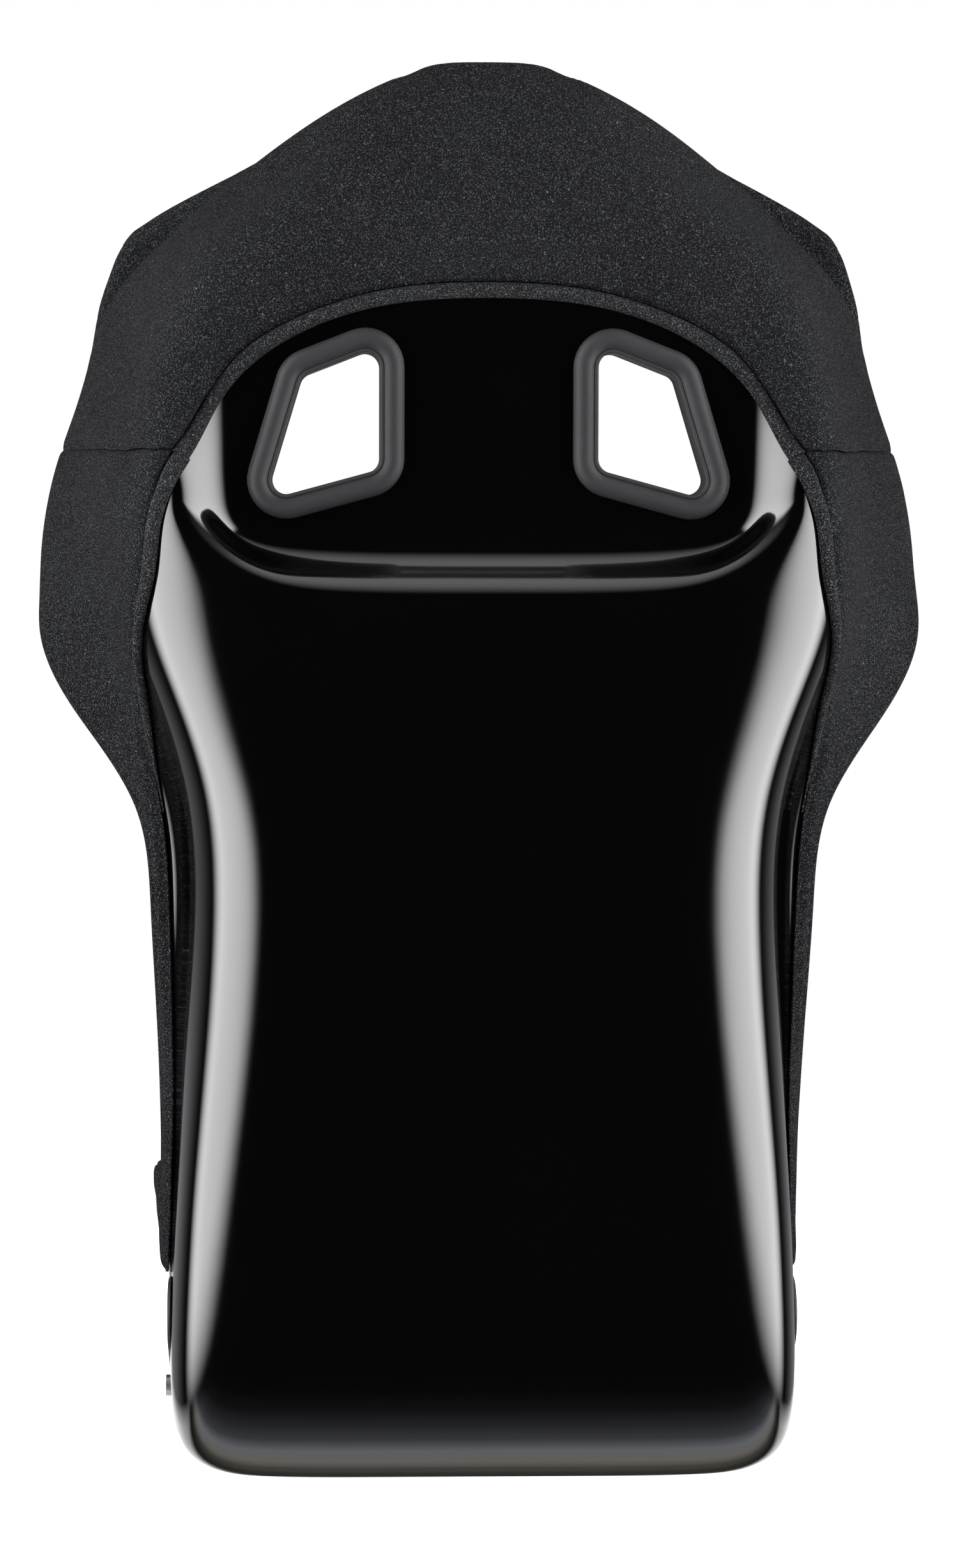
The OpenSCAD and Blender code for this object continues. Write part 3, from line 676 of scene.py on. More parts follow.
class Effects:
    """Shader groups that several finishes share."""

    def __init__(self) -> None:
        """Builds each group once."""
        self.speckle = self._speckle()
        self.knit = self._knit()
        self.grain = self._grain()
        self.drift = self._drift()

    @staticmethod
    def _speckle() -> NodeTree:
        """Fine fibres and a few bright specks; outputs Fleck and Height."""
        smith, ins, outs = new_group(
            "FibreSpeckle", {"Vector": 0, "Scale": 900.0, "Fleck Share": 0.6}, ("Fleck", "Height")
        )
        fine = smith.noise(ins["Vector"], ins["Scale"], Detail=3.0, Roughness=0.62)
        broad = smith.math("MULTIPLY", ins["Scale"], 0.42)
        loose = smith.noise(ins["Vector"], broad, Detail=1.0, Roughness=0.4)
        sharp = smith.math("MULTIPLY", smith.ramp(fine, 0.52, 0.72), ins["Fleck Share"])
        lint = smith.ramp(loose, 0.74, 0.8)
        smith.join(smith.math("ADD", sharp, lint, clamp=True), outs["Fleck"])
        smith.join(fine, outs["Height"])
        return smith.tree

    @staticmethod
    def _knit() -> NodeTree:
        """Rows of knitted stitches on a map in metres; outputs Stitch."""
        smith, ins, outs = new_group("KnitRows", {"Vector": 0, "Pitch": 0.0014}, ("Stitch",))
        parts = smith.parts(ins["Vector"])
        x, y = (
            smith.math("MULTIPLY", smith.math("DIVIDE", parts[axis], ins["Pitch"]), turn)
            for axis, turn in (("X", 2 * math.pi), ("Y", 2 * math.pi * 0.7))
        )
        half = smith.math("MULTIPLY", x, 0.5)
        zig = smith.math("ABSOLUTE", smith.math("SINE", half))
        wave = smith.math("SINE", smith.math("ADD", y, smith.math("MULTIPLY", zig, 2.4)))
        rows = smith.math("MULTIPLY", smith.math("ADD", wave, 1.0), 0.5)
        legs = smith.math("ADD", smith.math("MULTIPLY", zig, 0.6), 0.4)
        smith.join(smith.math("MULTIPLY", rows, legs), outs["Stitch"])
        return smith.tree

    @staticmethod
    def _grain() -> NodeTree:
        """Moulded pebble grain; outputs Height and Pit."""
        inputs = {"Vector": 0, "Scale": 900.0}
        smith, ins, outs = new_group("PebbleGrain", inputs, ("Height", "Pit"))
        cells = smith.add(
            "ShaderNodeTexVoronoi",
            feature="SMOOTH_F1",
            Smoothness=0.35,
            Vector=ins["Vector"],
            Scale=ins["Scale"],
        ).outputs["Distance"]
        broad = smith.noise(ins["Vector"], smith.math("MULTIPLY", ins["Scale"], 0.3), Detail=2.0)
        height = smith.math("ADD", cells, smith.math("MULTIPLY", broad, 0.5))
        smith.join(height, outs["Height"])
        smith.join(smith.ramp(cells, 0.15, 0.6), outs["Pit"])
        return smith.tree

    @staticmethod
    def _drift() -> NodeTree:
        """Slow change over the surface, as of handling and dust; outputs Mask."""
        smith, ins, outs = new_group("SlowDrift", {"Vector": 0, "Scale": 9.0}, ("Mask",))
        slow = smith.noise(ins["Vector"], ins["Scale"], Detail=4.0, Roughness=0.55)
        smith.join(smith.ramp(slow, 0.35, 0.68), outs["Mask"])
        return smith.tree


def new_material(name: str) -> tuple[Material, NodeSmith, Node]:
    """Starts a material and returns it with its helper and its shader."""
    material = bpy.data.materials.new(name)
    material.use_nodes = True
    tree = material.node_tree
    return material, NodeSmith(tree), tree.nodes["Principled BSDF"]


@dataclass(frozen=True)
class GlossLaminate:
    """Black gel coat over the moulded shell."""

    name: str = "black_gel_coat"
    colour: tuple = (0.0004, 0.0004, 0.00045)
    roughness: float = 0.085
    ripple: float = 0.02

    def build(self, effects: Effects) -> Material:
        """Makes the material."""
        material, smith, shader = new_material(self.name)
        place = smith.place()
        drift = smith.use(effects.drift, Vector=place, Scale=7.0).outputs["Mask"]
        wave = smith.noise(place, 38.0, Detail=1.0)
        smith.feed(
            shader,
            Base_Color=(*self.colour, 1),
            Roughness=smith.math("ADD", smith.math("MULTIPLY", drift, 0.035), self.roughness),
            IOR=1.52,
            Coat_Weight=0.35,
            Coat_Roughness=0.04,
            Normal=smith.relief(wave, self.ripple, 0.002),
        )
        return material


@dataclass(frozen=True)
class KnitCloth:
    """Stretch-knit cloth with a brushed face."""

    name: str
    dark: tuple = (0.0030, 0.0031, 0.0034)
    light: tuple = (0.058, 0.059, 0.063)
    fleck: float = 0.85
    sheen: float = 0.004
    scale: float = 1150.0
    stitch: float = 0.25

    def build(self, effects: Effects) -> Material:
        """Makes the material."""
        material, smith, shader = new_material(self.name)
        coords = smith.add("ShaderNodeTexCoord").outputs
        place = coords["Object"]
        speckle = smith.use(
            effects.speckle, Vector=place, Scale=self.scale, Fleck_Share=self.fleck
        ).outputs
        drift = smith.use(effects.drift, Vector=place, Scale=6.0).outputs["Mask"]
        worn = smith.math("MULTIPLY", drift, 0.04)
        mask = smith.math("ADD", speckle["Fleck"], worn, clamp=True)
        height = speckle["Height"]
        rough = smith.math("ADD", smith.math("MULTIPLY", height, -0.12), 0.96)
        if self.stitch > 0:
            knit = smith.use(effects.knit, Vector=coords["UV"], Pitch=0.0015).outputs["Stitch"]
            height = smith.math("ADD", height, smith.math("MULTIPLY", knit, self.stitch))
        smith.feed(
            shader,
            Base_Color=smith.two_tone(mask, self.dark, self.light),
            Roughness=rough,
            Specular_IOR_Level=0.0,
            Sheen_Weight=self.sheen,
            Sheen_Roughness=0.45,
            Normal=smith.relief(height, 0.55, 0.0006),
        )
        return material


@dataclass(frozen=True)
class GrainedPlastic:
    """Satin moulded plastic with a pebble grain, a little paler where it is worn."""

    name: str = "grained_plastic"
    colour: tuple = (0.0095, 0.0098, 0.0107)
    worn: tuple = (0.013, 0.0133, 0.0144)
    roughness: float = 0.42

    def build(self, effects: Effects) -> Material:
        """Makes the material."""
        material, smith, shader = new_material(self.name)
        place = smith.place()
        grain = smith.use(effects.grain, Vector=place, Scale=1100.0).outputs
        drift = smith.use(effects.drift, Vector=place, Scale=9.0).outputs["Mask"]
        smith.feed(
            shader,
            Base_Color=smith.two_tone(drift, self.colour, self.worn),
            Roughness=smith.math("ADD", smith.math("MULTIPLY", grain["Pit"], 0.14), self.roughness),
            IOR=1.28,
            Normal=smith.relief(grain["Height"], 0.16, 0.0004),
        )
        return material


@dataclass(frozen=True)
class BrushedSteel:
    """Zinc-plated steel with turning marks."""

    name: str = "turned_steel"
    colour: tuple = (0.42, 0.43, 0.45)
    dull: tuple = (0.2, 0.2, 0.21)

    def build(self, effects: Effects) -> Material:
        """Makes the material."""
        material, smith, shader = new_material(self.name)
        place = smith.place()
        drift = smith.use(effects.drift, Vector=place, Scale=60.0).outputs["Mask"]
        marks = smith.noise(place, 900.0, Detail=2.0)
        smith.feed(
            shader,
            Base_Color=smith.two_tone(drift, self.colour, self.dull),
            Metallic=1.0,
            Roughness=smith.math("ADD", smith.math("MULTIPLY", marks, 0.2), 0.22),
            Normal=smith.relief(marks, 0.15, 0.0003),
        )
        return material


# ---------------------------------------------------------------- belt slots


@dataclass(frozen=True)
class BeltSlot:
    """One belt slot: a rounded outline in its own plane, with Z out of the shell.

    Its three ways and its middle are in the seat's frame, in millimetres.
    """

    x_way: tuple
    y_way: tuple
    z_way: tuple
    middle: tuple
    corners: tuple
    radius: float

    def _ways(self) -> Array:
        """The slot's X, Y and Z ways as rows."""
        return np.array([self.x_way, self.y_way, self.z_way], float)

    def to_local(self, points: Array) -> Array:
        """Seat points in the slot's own frame."""
        return (points - np.array(self.middle)) @ self._ways().T

    def to_seat(self, points: Array) -> Array:
        """Points of the slot's own frame in the seat's."""
        return points @ self._ways() + np.array(self.middle)

    def nearest(self, flat: Array) -> tuple[Array, Array, Array]:
        """Nearest place on the straight outline.

        Args:
            flat: Points in the slot's plane, shape (N, 2).

        Returns:
            The nearest points, the distances, and whether each point is inside.
        """
        ring = np.array(self.corners, float)
        best = np.full(len(flat), np.inf)
        foot = np.zeros_like(flat)
        inside = np.ones(len(flat), bool)
        for a, b in zip(ring, np.roll(ring, -1, axis=0)):
            edge = b - a
            t = np.clip(((flat - a) @ edge) / (edge @ edge), 0, 1)
            q = a + t[:, None] * edge
            d = np.linalg.norm(flat - q, axis=1)
            closer = d < best
            best[closer] = d[closer]
            foot[closer] = q[closer]
            inside &= (edge[0] * (flat[:, 1] - a[1]) - edge[1] * (flat[:, 0] - a[0])) >= 0
        return foot, best, inside

    def clearance(self, flat: Array) -> Array:
        """Signed distance from the rounded outline, negative inside the slot."""
        _, distance, inside = self.nearest(flat)
        return np.where(inside, -distance, distance) - self.radius

    def snapped(self, flat: Array, offset: float) -> Array:
        """Points moved square on to the outline, at an offset from it."""
        foot, distance, inside = self.nearest(flat)
        way = (flat - foot) / np.maximum(distance, TINY)[:, None]
        way = np.where(inside[:, None], -way, way)
        return foot + way * (self.radius + offset)

    def outline(self, offset: float, steps: int) -> Array:
        """Rounded outline at an offset, anticlockwise, without its last point."""
        ring = np.array(self.corners, float)
        loop = []
        for last, c, following in zip(np.roll(ring, 1, axis=0), ring, np.roll(ring, -1, axis=0)):
            start = math.atan2(*(c - last)[::-1]) - math.pi / 2
            stop = math.atan2(*(following - c)[::-1]) - math.pi / 2
            stop += 2 * math.pi if stop < start else 0
            for t in np.linspace(start, stop, steps + 1):
                loop.append(c + (self.radius + offset) * np.array([math.cos(t), math.sin(t)]))
        return np.array(loop)

    def mirrored(self) -> "BeltSlot":
        """The same slot on the other side of the seat."""
        moved = {
            key: tuple(np.array(getattr(self, key)) * OTHER_SIDE)
            for key in ("x_way", "y_way", "z_way", "middle")
        }
        return replace(self, **moved)


def oval(length: float, width: float) -> dict:
    """Corners and corner radius of a round-ended outline."""
    half, flat = (length - width) / 2, 0.5
    corners = ((half, flat), (-half, flat), (-half, -flat), (half, -flat))
    return {"corners": corners, "radius": width / 2}


class BeltSlots:
    """All the belt slots of the seat, where the frame has them."""

    LAP_PLACE = (4.35, 7.0)
    LAP_TURN = 25.0
    HARNESS_R = 9.0
    CROTCH_FORE = 170.0

    def __init__(self, loft: SeatLoft) -> None:
        """Works the slots' frames out of the loft."""
        s = loft.sizes
        up = s.shell_h - s.ledge_h
        panel = s.panel_w / 2
        reach = self.HARNESS_R + s.bezel_w
        lean = math.radians(s.panel_lean)
        self.harness = BeltSlot(
            x_way=(1, 0, 0),
            y_way=(0, math.sin(lean), math.cos(lean)),
            z_way=(0, math.cos(lean), -math.sin(lean)),
            middle=(0, loft.panel_y(s.ledge_h) - loft.y_mid, s.ledge_h),
            corners=(
                (panel - 45, 0.1355 * up + reach),
                (panel - 62.5, 0.4587 * up - reach),
                (panel - 94.5, 0.4965 * up - reach),
                (panel - 94.5, 0.1763 * up + reach),
            ),
            radius=self.HARNESS_R,
        )
        turn = math.radians(self.LAP_TURN)
        at = loft.skin(*(np.array([x]) for x in self.LAP_PLACE))[0][0]
        self.lap = BeltSlot(
            x_way=(0, math.cos(turn), math.sin(turn)),
            y_way=(0, -math.sin(turn), math.cos(turn)),
            z_way=(1, 0, 0),
            middle=tuple(at),
            **oval(s.lap_l, s.lap_w),
        )
        self.crotch = BeltSlot(
            x_way=(1, 0, 0),
            y_way=(0, 1, 0),
            z_way=(0, 0, -1),
            middle=(0, s.pan_rear - self.CROTCH_FORE - loft.y_mid, 0),
            **oval(s.crotch_w, s.crotch_l),
        )

    def pair(self, slot: BeltSlot, side: Side) -> BeltSlot:
        """The slot on one side."""
        return slot if side is Side.LEFT else slot.mirrored()

    def every(self) -> list[BeltSlot]:
        """All five slots."""
        both = [self.pair(slot, side) for side in Side for slot in (self.harness, self.lap)]
        return [*both, self.crotch]


def cut_slot(
    piece: Object,
    slot: BeltSlot,
    offset: float,
    depth: float = 30.0,
    band: float = 14.0,
) -> None:
    """Opens a slot through a skin, with its edge on the slot's outline.

    Args:
        piece: The skin.
        slot: The slot.
        offset: How far outside the slot's outline the edge lies, in millimetres.
        depth: How far from the slot's plane the skin is still cut.
        band: How far from that edge a torn point may lie to be moved on to it.
    """

    def own_places(verts: Sequence[bmesh.types.BMVert]) -> tuple[Array, Array]:
        local = slot.to_local(np.array([v.co for v in verts]) / MM)
        gap = slot.clearance(local[:, :2]) - offset
        return local, np.where(np.abs(local[:, 2]) < depth, gap, np.inf)

    with editing(piece.data) as bm:
        inside = own_places(bm.verts)[1] < 0
        doomed = [f for f in bm.faces if sum(inside[v.index] for v in f.verts) * 2 > len(f.verts)]
        bmesh.ops.delete(bm, geom=doomed, context="FACES")
        rim = [v for v in bm.verts if v.is_boundary]
        local, gap = own_places(rim)
        local[:, :2] = slot.snapped(local[:, :2], offset)
        for vert, point, near in zip(rim, slot.to_seat(local) * MM, np.abs(gap) < band):
            if near:
                vert.co = point


# ---------------------------------------------------------------- shell


@dataclass
class MouldedShell:
    """One-piece moulded shell with its belt slots."""

    loft: SeatLoft
    slots: BeltSlots
    columns_per_unit: int = 12
    rows_per_unit: int = 9

    def build(self, finish: Material) -> Object:
        """Builds the shell's skin, opens its slots and gives it its wall."""
        s = self.loft.sizes
        rim, top = self.loft.RIM_U, self.loft.TOP_V
        columns = np.linspace(-rim, rim, 2 * rim * self.columns_per_unit + 1)
        rows = np.linspace(0, top, top * self.rows_per_unit + 1)
        skin = partial(self.loft.place, d=0.0)
        piece = grid_mesh("moulded_shell", columns, rows, skin, outward=False)
        for slot in self.slots.every():
            cut_slot(piece, slot, s.sleeve_t + s.gap / 2)
        thicken(piece, s.shell_t)
        return fix_piece(piece, finish, ["shell"])


# ---------------------------------------------------------------- wrapped covers


@dataclass
class CoverLine:
    """A cover's run: for each place along it, its rim place and its hem place."""

    node: str
    steps: int
    pairs: Pairs
    lift: float
    sewn: tuple[bool, bool] = (True, True)
    sided: bool = False


def there_and_back(s: Array, steps: int) -> tuple[Array, Array]:
    """Steps counted from both ends of a run to its middle, and the side's sign."""
    return steps - np.abs(s * 2 * steps - steps), np.where(s > 0.5, -1.0, 1.0)


@dataclass
class WrappedCovers:
    """Cloth laid from its hem over the rim and a little way into the seat.

    Lengths are millimetres. The hem line has the side covers' hem for each section of
    the rim, the arch is the head cover's hem from its side to the middle, and the seam
    sway moves the cross seam along, as columns and moves. Bend-in draws the mesh closer
    at the corner. The fringe is the share of the flap with a closer mesh at its hem, the
    rim groove has its depth, its place on the roll and its width, and the tuck is how
    deep the turn-in lies at its start and its end.
    """

    loft: SeatLoft
    cloth_t: float = 1.4
    spare: float = 1.02
    waist_v: float = 12.4
    front_v: float = 0.8
    fringe: float = 0.12
    seam_v: float = 19.38
    seam_sway: tuple = (
        (2.75, 3.0, 3.5, 4.0, 4.5, 5.0, 5.5, 6.0),
        (0.0, -0.1, 0.06, 0.2, 0.21, 0.15, 0.09, 0.04),
    )
    hem_line: tuple = (
        (5.3, 0.0), (5.3, 1.0), (5.0, 2.0), (4.85, 3.0), (4.8, 4.0), (4.85, 5.0), (5.0, 6.0),
        (5.25, 7.0), (5.2, 8.0), (5.1, 9.0), (5.0, 10.0), (5.05, 11.0), (5.2, 12.0), (5.15, 13.0),
        (4.1, 14.0), (3.4, 14.8), (3.02, 15.45), (3.02, 16.2), (2.98, 17.3), (2.83, 18.2),
        (2.53, 19.0),
    )
    arch: tuple = ((2.75, 18.5), (2.26, 19.78), (1.38, 20.52), (0.9, 20.95), (0.45, 21.28))
    bend_in: tuple = ((0.0, 2.3, 4.2, 6.0), (0.0, 2.3, 8.0, 9.8))
    head_side: int = 7
    head_top: int = 8
    hem_lift: float = 2.1
    hem_ease: float = 4.5
    belly: float = 1.6
    uneven: float = 0.35
    step_l: float = 2.6
    seam_deep: float = 2.3
    seam_wide: float = 2.6
    rim_groove: tuple = (1.1, 0.22, 0.03)
    roll_seam: float = 0.6
    tuck: tuple = (-10.0, -8.6)
    tuck_end: float = 0.35

    def hem_at(self, v: Array) -> Array:
        """Place of the side covers' hem across from a section of the rim."""
        return knot_curve(self.hem_line, v)

    def side_pairs(self, v0: float, v1: float) -> Pairs:
        """Pairs along a side cover, from section v0 to v1."""

        def pairs(s: Array) -> tuple[Array, Array]:
            v = mix(v0, v1, s)
            return np.stack([np.full_like(v, self.loft.RIM_U), v], -1), self.hem_at(v)

        return pairs

    def head_pairs(self, s: Array) -> tuple[Array, Array]:
        """Pairs along the head cover, from the left seam over the top to the right seam."""
        rim, top = float(self.loft.RIM_U), float(self.loft.TOP_V)
        h, sign = there_and_back(s, self.head_side + self.head_top)
        side = h < self.head_side
        u = np.where(side, rim, rim * (1 - (h - self.head_side) / self.head_top))
        v = np.where(side, mix(self.seam_v, top, h / self.head_side), top)
        ring = [*self.arch, *[(-a, b) for a, b in reversed(self.arch)]]
        return np.stack([u * sign, v], -1), knot_curve(ring, s * (len(ring) - 1))

    def front_pairs(self, s: Array) -> tuple[Array, Array]:
        """Pairs along the front lip's cover, from left to right."""
        rims = [(6.0, self.front_v), (6.0, 0.4), (6.0, 0.0)]
        hems = [(5.3, self.front_v), (5.3, 0.75), (5.2, 0.6)]
        for u in (5.4, 4.8, 4.2, 3.6, 3.0, 2.4, 1.6, 0.8, 0.0):
            rims.append((u, 0.0))
            hems.append((u * 0.9, 0.5))
        h, sign = there_and_back(s, len(rims) - 1)
        at = np.arange(len(rims))
        lines = []
        for marks in (rims, hems):
            u, v = (np.interp(h, at, column) for column in zip(*marks))
            lines.append(np.stack([u * sign, v], -1))
        return lines[0], lines[1]

    def lines(self) -> list[CoverLine]:
        """All the covers; one that stands on both sides is given for the left."""
        s = self.loft.sizes
        shoulder = self.side_pairs(self.waist_v, self.seam_v)
        flank = self.side_pairs(self.front_v, self.waist_v)
        head_lift, lift = s.head_cover_gap + s.cover_t, s.cover_gap + s.cover_t
        return [
            CoverLine("cover_head", 300, self.head_pairs, head_lift),
            CoverLine("cover_shoulder", 150, shoulder, lift, (False, True), sided=True),
            CoverLine("cover_flank", 180, flank, lift, (True, False), sided=True),
            CoverLine("cover_front", 160, self.front_pairs, lift),
        ]

    def crowd(self, hem: Array, rim: Array, t: Array) -> Array:
        """Places from hem to rim, closer together round the section's corner."""
        a, b = np.abs(hem[:, 0]), np.abs(rim[:, 0])
        low, high = np.array(self.bend_in)
        u = np.interp(mix(np.interp(a, low, high), np.interp(b, low, high), t), high, low)
        share = np.where(b - a < 1, t, (u - a) / np.maximum(b - a, 1e-6))
        q = mix(hem, rim, share[:, None])
        on_side = (a > 2) & (b > self.loft.RIM_U - 0.1)
        sway = np.interp(np.abs(q[:, 0]), *self.seam_sway)
        q[:, 1] += sway * bump(rim[:, 1] - self.seam_v, 1.0) * on_side
        return q

    def surface(self, line: CoverLine) -> Place:
        """The cover's outer face as a function of its run.

        Across it, 0 to 1 is the flap from hem to rim, 1 to 2 the roll and 2 to 3 the turn-in.
        """
        loft, s = self.loft, self.loft.sizes
        roll_lift = s.rim_r - s.shell_t / 2
        groove, groove_at, groove_wide = self.rim_groove

        def place(t: Array, along: Array) -> Array:
            rim, hem = line.pairs(along)
            flap, roll, turn = (np.clip(t - k, 0, 1) for k in range(3))
            seam = self._groove(line, along)
            length = np.linalg.norm(loft.place(*rim.T, 0) - loft.place(*hem.T, 0), axis=1)
            from_hem = flap * length
            belly = line.lift + self.belly * np.sin(np.pi * flap) ** 0.7
            rise = 1 - bump(from_hem, self.hem_ease)
            lift = mix(self.hem_lift, mix(belly, roll_lift, flap**6), rise)
            lift = lift - seam - self._wave(rim, from_hem)
            out = loft.place(*self.crowd(hem, rim, flap).T, lift)
            point, normal = loft.skin(*rim.T)
            way = loft.out_of_rim(*rim.T)
            angle = np.radians(90 - 180 * roll)[:, None]
            radius = s.rim_r - groove * bump(roll - groove_at, groove_wide) - self.roll_seam * seam
            spoke = normal * np.sin(angle) + way * np.cos(angle)
            rolled = point - normal * s.shell_t / 2 + radius[:, None] * spoke
            end_u = np.minimum(np.abs(rim[:, 0]), loft.RIM_U - self.tuck_end)
            end_v = np.clip(rim[:, 1], self.tuck_end, loft.TOP_V - self.tuck_end)
            end = np.stack([np.sign(rim[:, 0]) * end_u, end_v], -1)
            inner = loft.place(*mix(rim, end, turn[:, None]).T, mix(*self.tuck, turn))
            return np.where((t <= 1)[:, None], out, np.where((t <= 2)[:, None], rolled, inner))

        return place

    def _wave(self, rim: Array, from_hem: Array) -> Array:
        """Gentle unevenness of the cloth."""
        v = rim[:, 1]
        return self.uneven * np.sin(v * 3.4 + from_hem * 0.03) * np.sin(from_hem * 0.045 + v * 1.1)

    def _groove(self, line: CoverLine, along: Array) -> Array:
        """Depth of the groove at a cover's sewn ends."""
        reach, wide = line.steps * self.step_l, self.seam_wide
        ends = [bump(at * reach, wide) for at in (along, 1 - along)]
        return self.seam_deep * sum(sewn * end for sewn, end in zip(line.sewn, ends))

    def build(self, finish: Material) -> list[Object]:
        hem, flap = np.linspace(0, self.fringe, 9), np.linspace(self.fringe, 1, 30)
        roll, turn = np.linspace(1, 2, 19), np.linspace(2, 3, 5)
        across = np.concatenate([hem[:-1], flap, roll[1:], turn[1:]])
        pieces = []
        for line in self.lines():
            even = np.linspace(0, 1, line.steps + 1)[1:-1]
            along = np.concatenate([[0, 0.0006], even, [0.9994, 1]])
            for side in Side if line.sided else [Side.LEFT]:
                name = f"{line.node}_{side.word}" if line.sided else line.node
                place = side.of(self.surface(line))
                right = side is Side.RIGHT
                piece = grid_mesh(f"cloth_{name}", across, along, place, outward=right)
                pieces.append(self._finish(piece, name, finish))
        return pieces

    def _finish(
        self, piece: Object, node: str, finish: Material
    ) -> Object:
        """Gives a cover its cloth and says what it was cut to."""
        uv = np.empty(len(piece.data.loops) * 2)
        piece.data.uv_layers[UV_NAME].data.foreach_get("uv", uv)
        width, length = (float(side) for side in uv.reshape(-1, 2).max(axis=0))
        area = sum(face.area for face in piece.data.polygons)
        if area > width * length:
            width *= area / (width * length) * self.spare
        thicken(piece, self.cloth_t)
        fix_piece(piece, finish, [node])
        log.info("%s cut %.3f by %.3f m, %.4f m2", piece.name, width, length, area)
        return piece


@dataclass
class RolledHems:
    """Rolled hem that closes the edge of the cloth against the shell.

    Its tail is the share of a side hem over which it swells from its thin lower end,
    and its nudge is how far beyond the cloth's edge it starts, in millimetres.
    """

    loft: SeatLoft
    covers: WrappedCovers
    foot_v: float = 12.9
    tail: float = 0.22
    thin: float = 0.12
    nudge: float = 0.4

    def surface(self, pairs: Pairs, tail: float = 0.0) -> Place:
        """Closed section of the roll: 0 to 1 over its back and 1 to 2 under it."""
        s = self.loft.sizes
        probe = 0.02

        def place(t: Array, along: Array) -> Array:
            rim, hem = pairs(along)
            out = hem - rim
            ahead = self.loft.place(*(hem + out * probe).T, 0)
            step = np.linalg.norm(self.loft.place(*hem.T, 0) - ahead, axis=1) / probe
            top = t <= 1
            angle = np.pi * np.where(top, t, 2 - t)
            ease = np.clip(along / tail, 0, 1) if tail else np.ones_like(along)
            size = self.thin + (1 - self.thin) * ease * ease * (3 - 2 * ease)
            run = (1 - np.cos(angle)) / 2 * size
            hump = (s.hem_h + 0.2) * size * np.sin(angle) ** 0.75
            away = (self.nudge + run * s.hem_w) / np.maximum(step, 1e-6)
            return self.loft.place(*(hem + out * away[:, None]).T, s.gap + np.where(top, hump, 0))

        return place

    def build(self, finish: Material) -> list[Object]:
        """Builds the three hems."""
        head = self.surface(self.covers.head_pairs)
        edge = self.surface(self.covers.side_pairs(self.foot_v, self.covers.seam_v), self.tail)
        around = np.concatenate([np.linspace(0, 1, 15), np.linspace(1, 2, 5)[1:]])
        runs = [("hem_head", head, 260)]
        runs += [(f"hem_{side.word}", side.of(edge), 130) for side in Side]
        pieces = []
        for node, place, steps in runs:
            along = np.linspace(0, 1, steps + 1)
            piece = grid_mesh(f"rolled_{node}", around, along, place, closed=True)
            close_body(piece)
            fix_piece(piece, finish, [node])
            pieces.append(piece)
        return pieces


# ---------------------------------------------------------------- surrounds


def arc(middle: tuple, radii: tuple, start: float, stop: float, count: int) -> list[tuple]:
    """Points along an upright ellipse, from one angle in degrees to another."""
    angles = np.radians(np.linspace(start, stop, count))
    return [
        (middle[0] + radii[0] * math.cos(a), middle[1] + radii[1] * math.sin(a)) for a in angles
    ]


@dataclass(frozen=True)
class SurroundShape:
    """Section of a slot surround, the height of its foot and whether it faces the sitter."""

    width: float
    height: float
    sleeve: float
    deep: float
    lip: float
    stand: float
    inward: bool

    def section(self) -> Array:
        """Closed section, as [outward, height] pairs from the sleeve's foot."""
        w, h, lip = self.width, self.height, self.lip
        return np.array(
            [
                (0.0, -self.deep),
                (0.0, h * 0.40),
                *arc((lip, h * 0.62), (lip, lip * 0.9), 180, 20, 7),
                *arc((w * 0.56, h * 0.34), (w * 0.44, h * 0.66), 128, 0, 15),
                (w, 0.0),
                (self.sleeve, 0.0),
                (self.sleeve, -self.deep),
            ]
        )


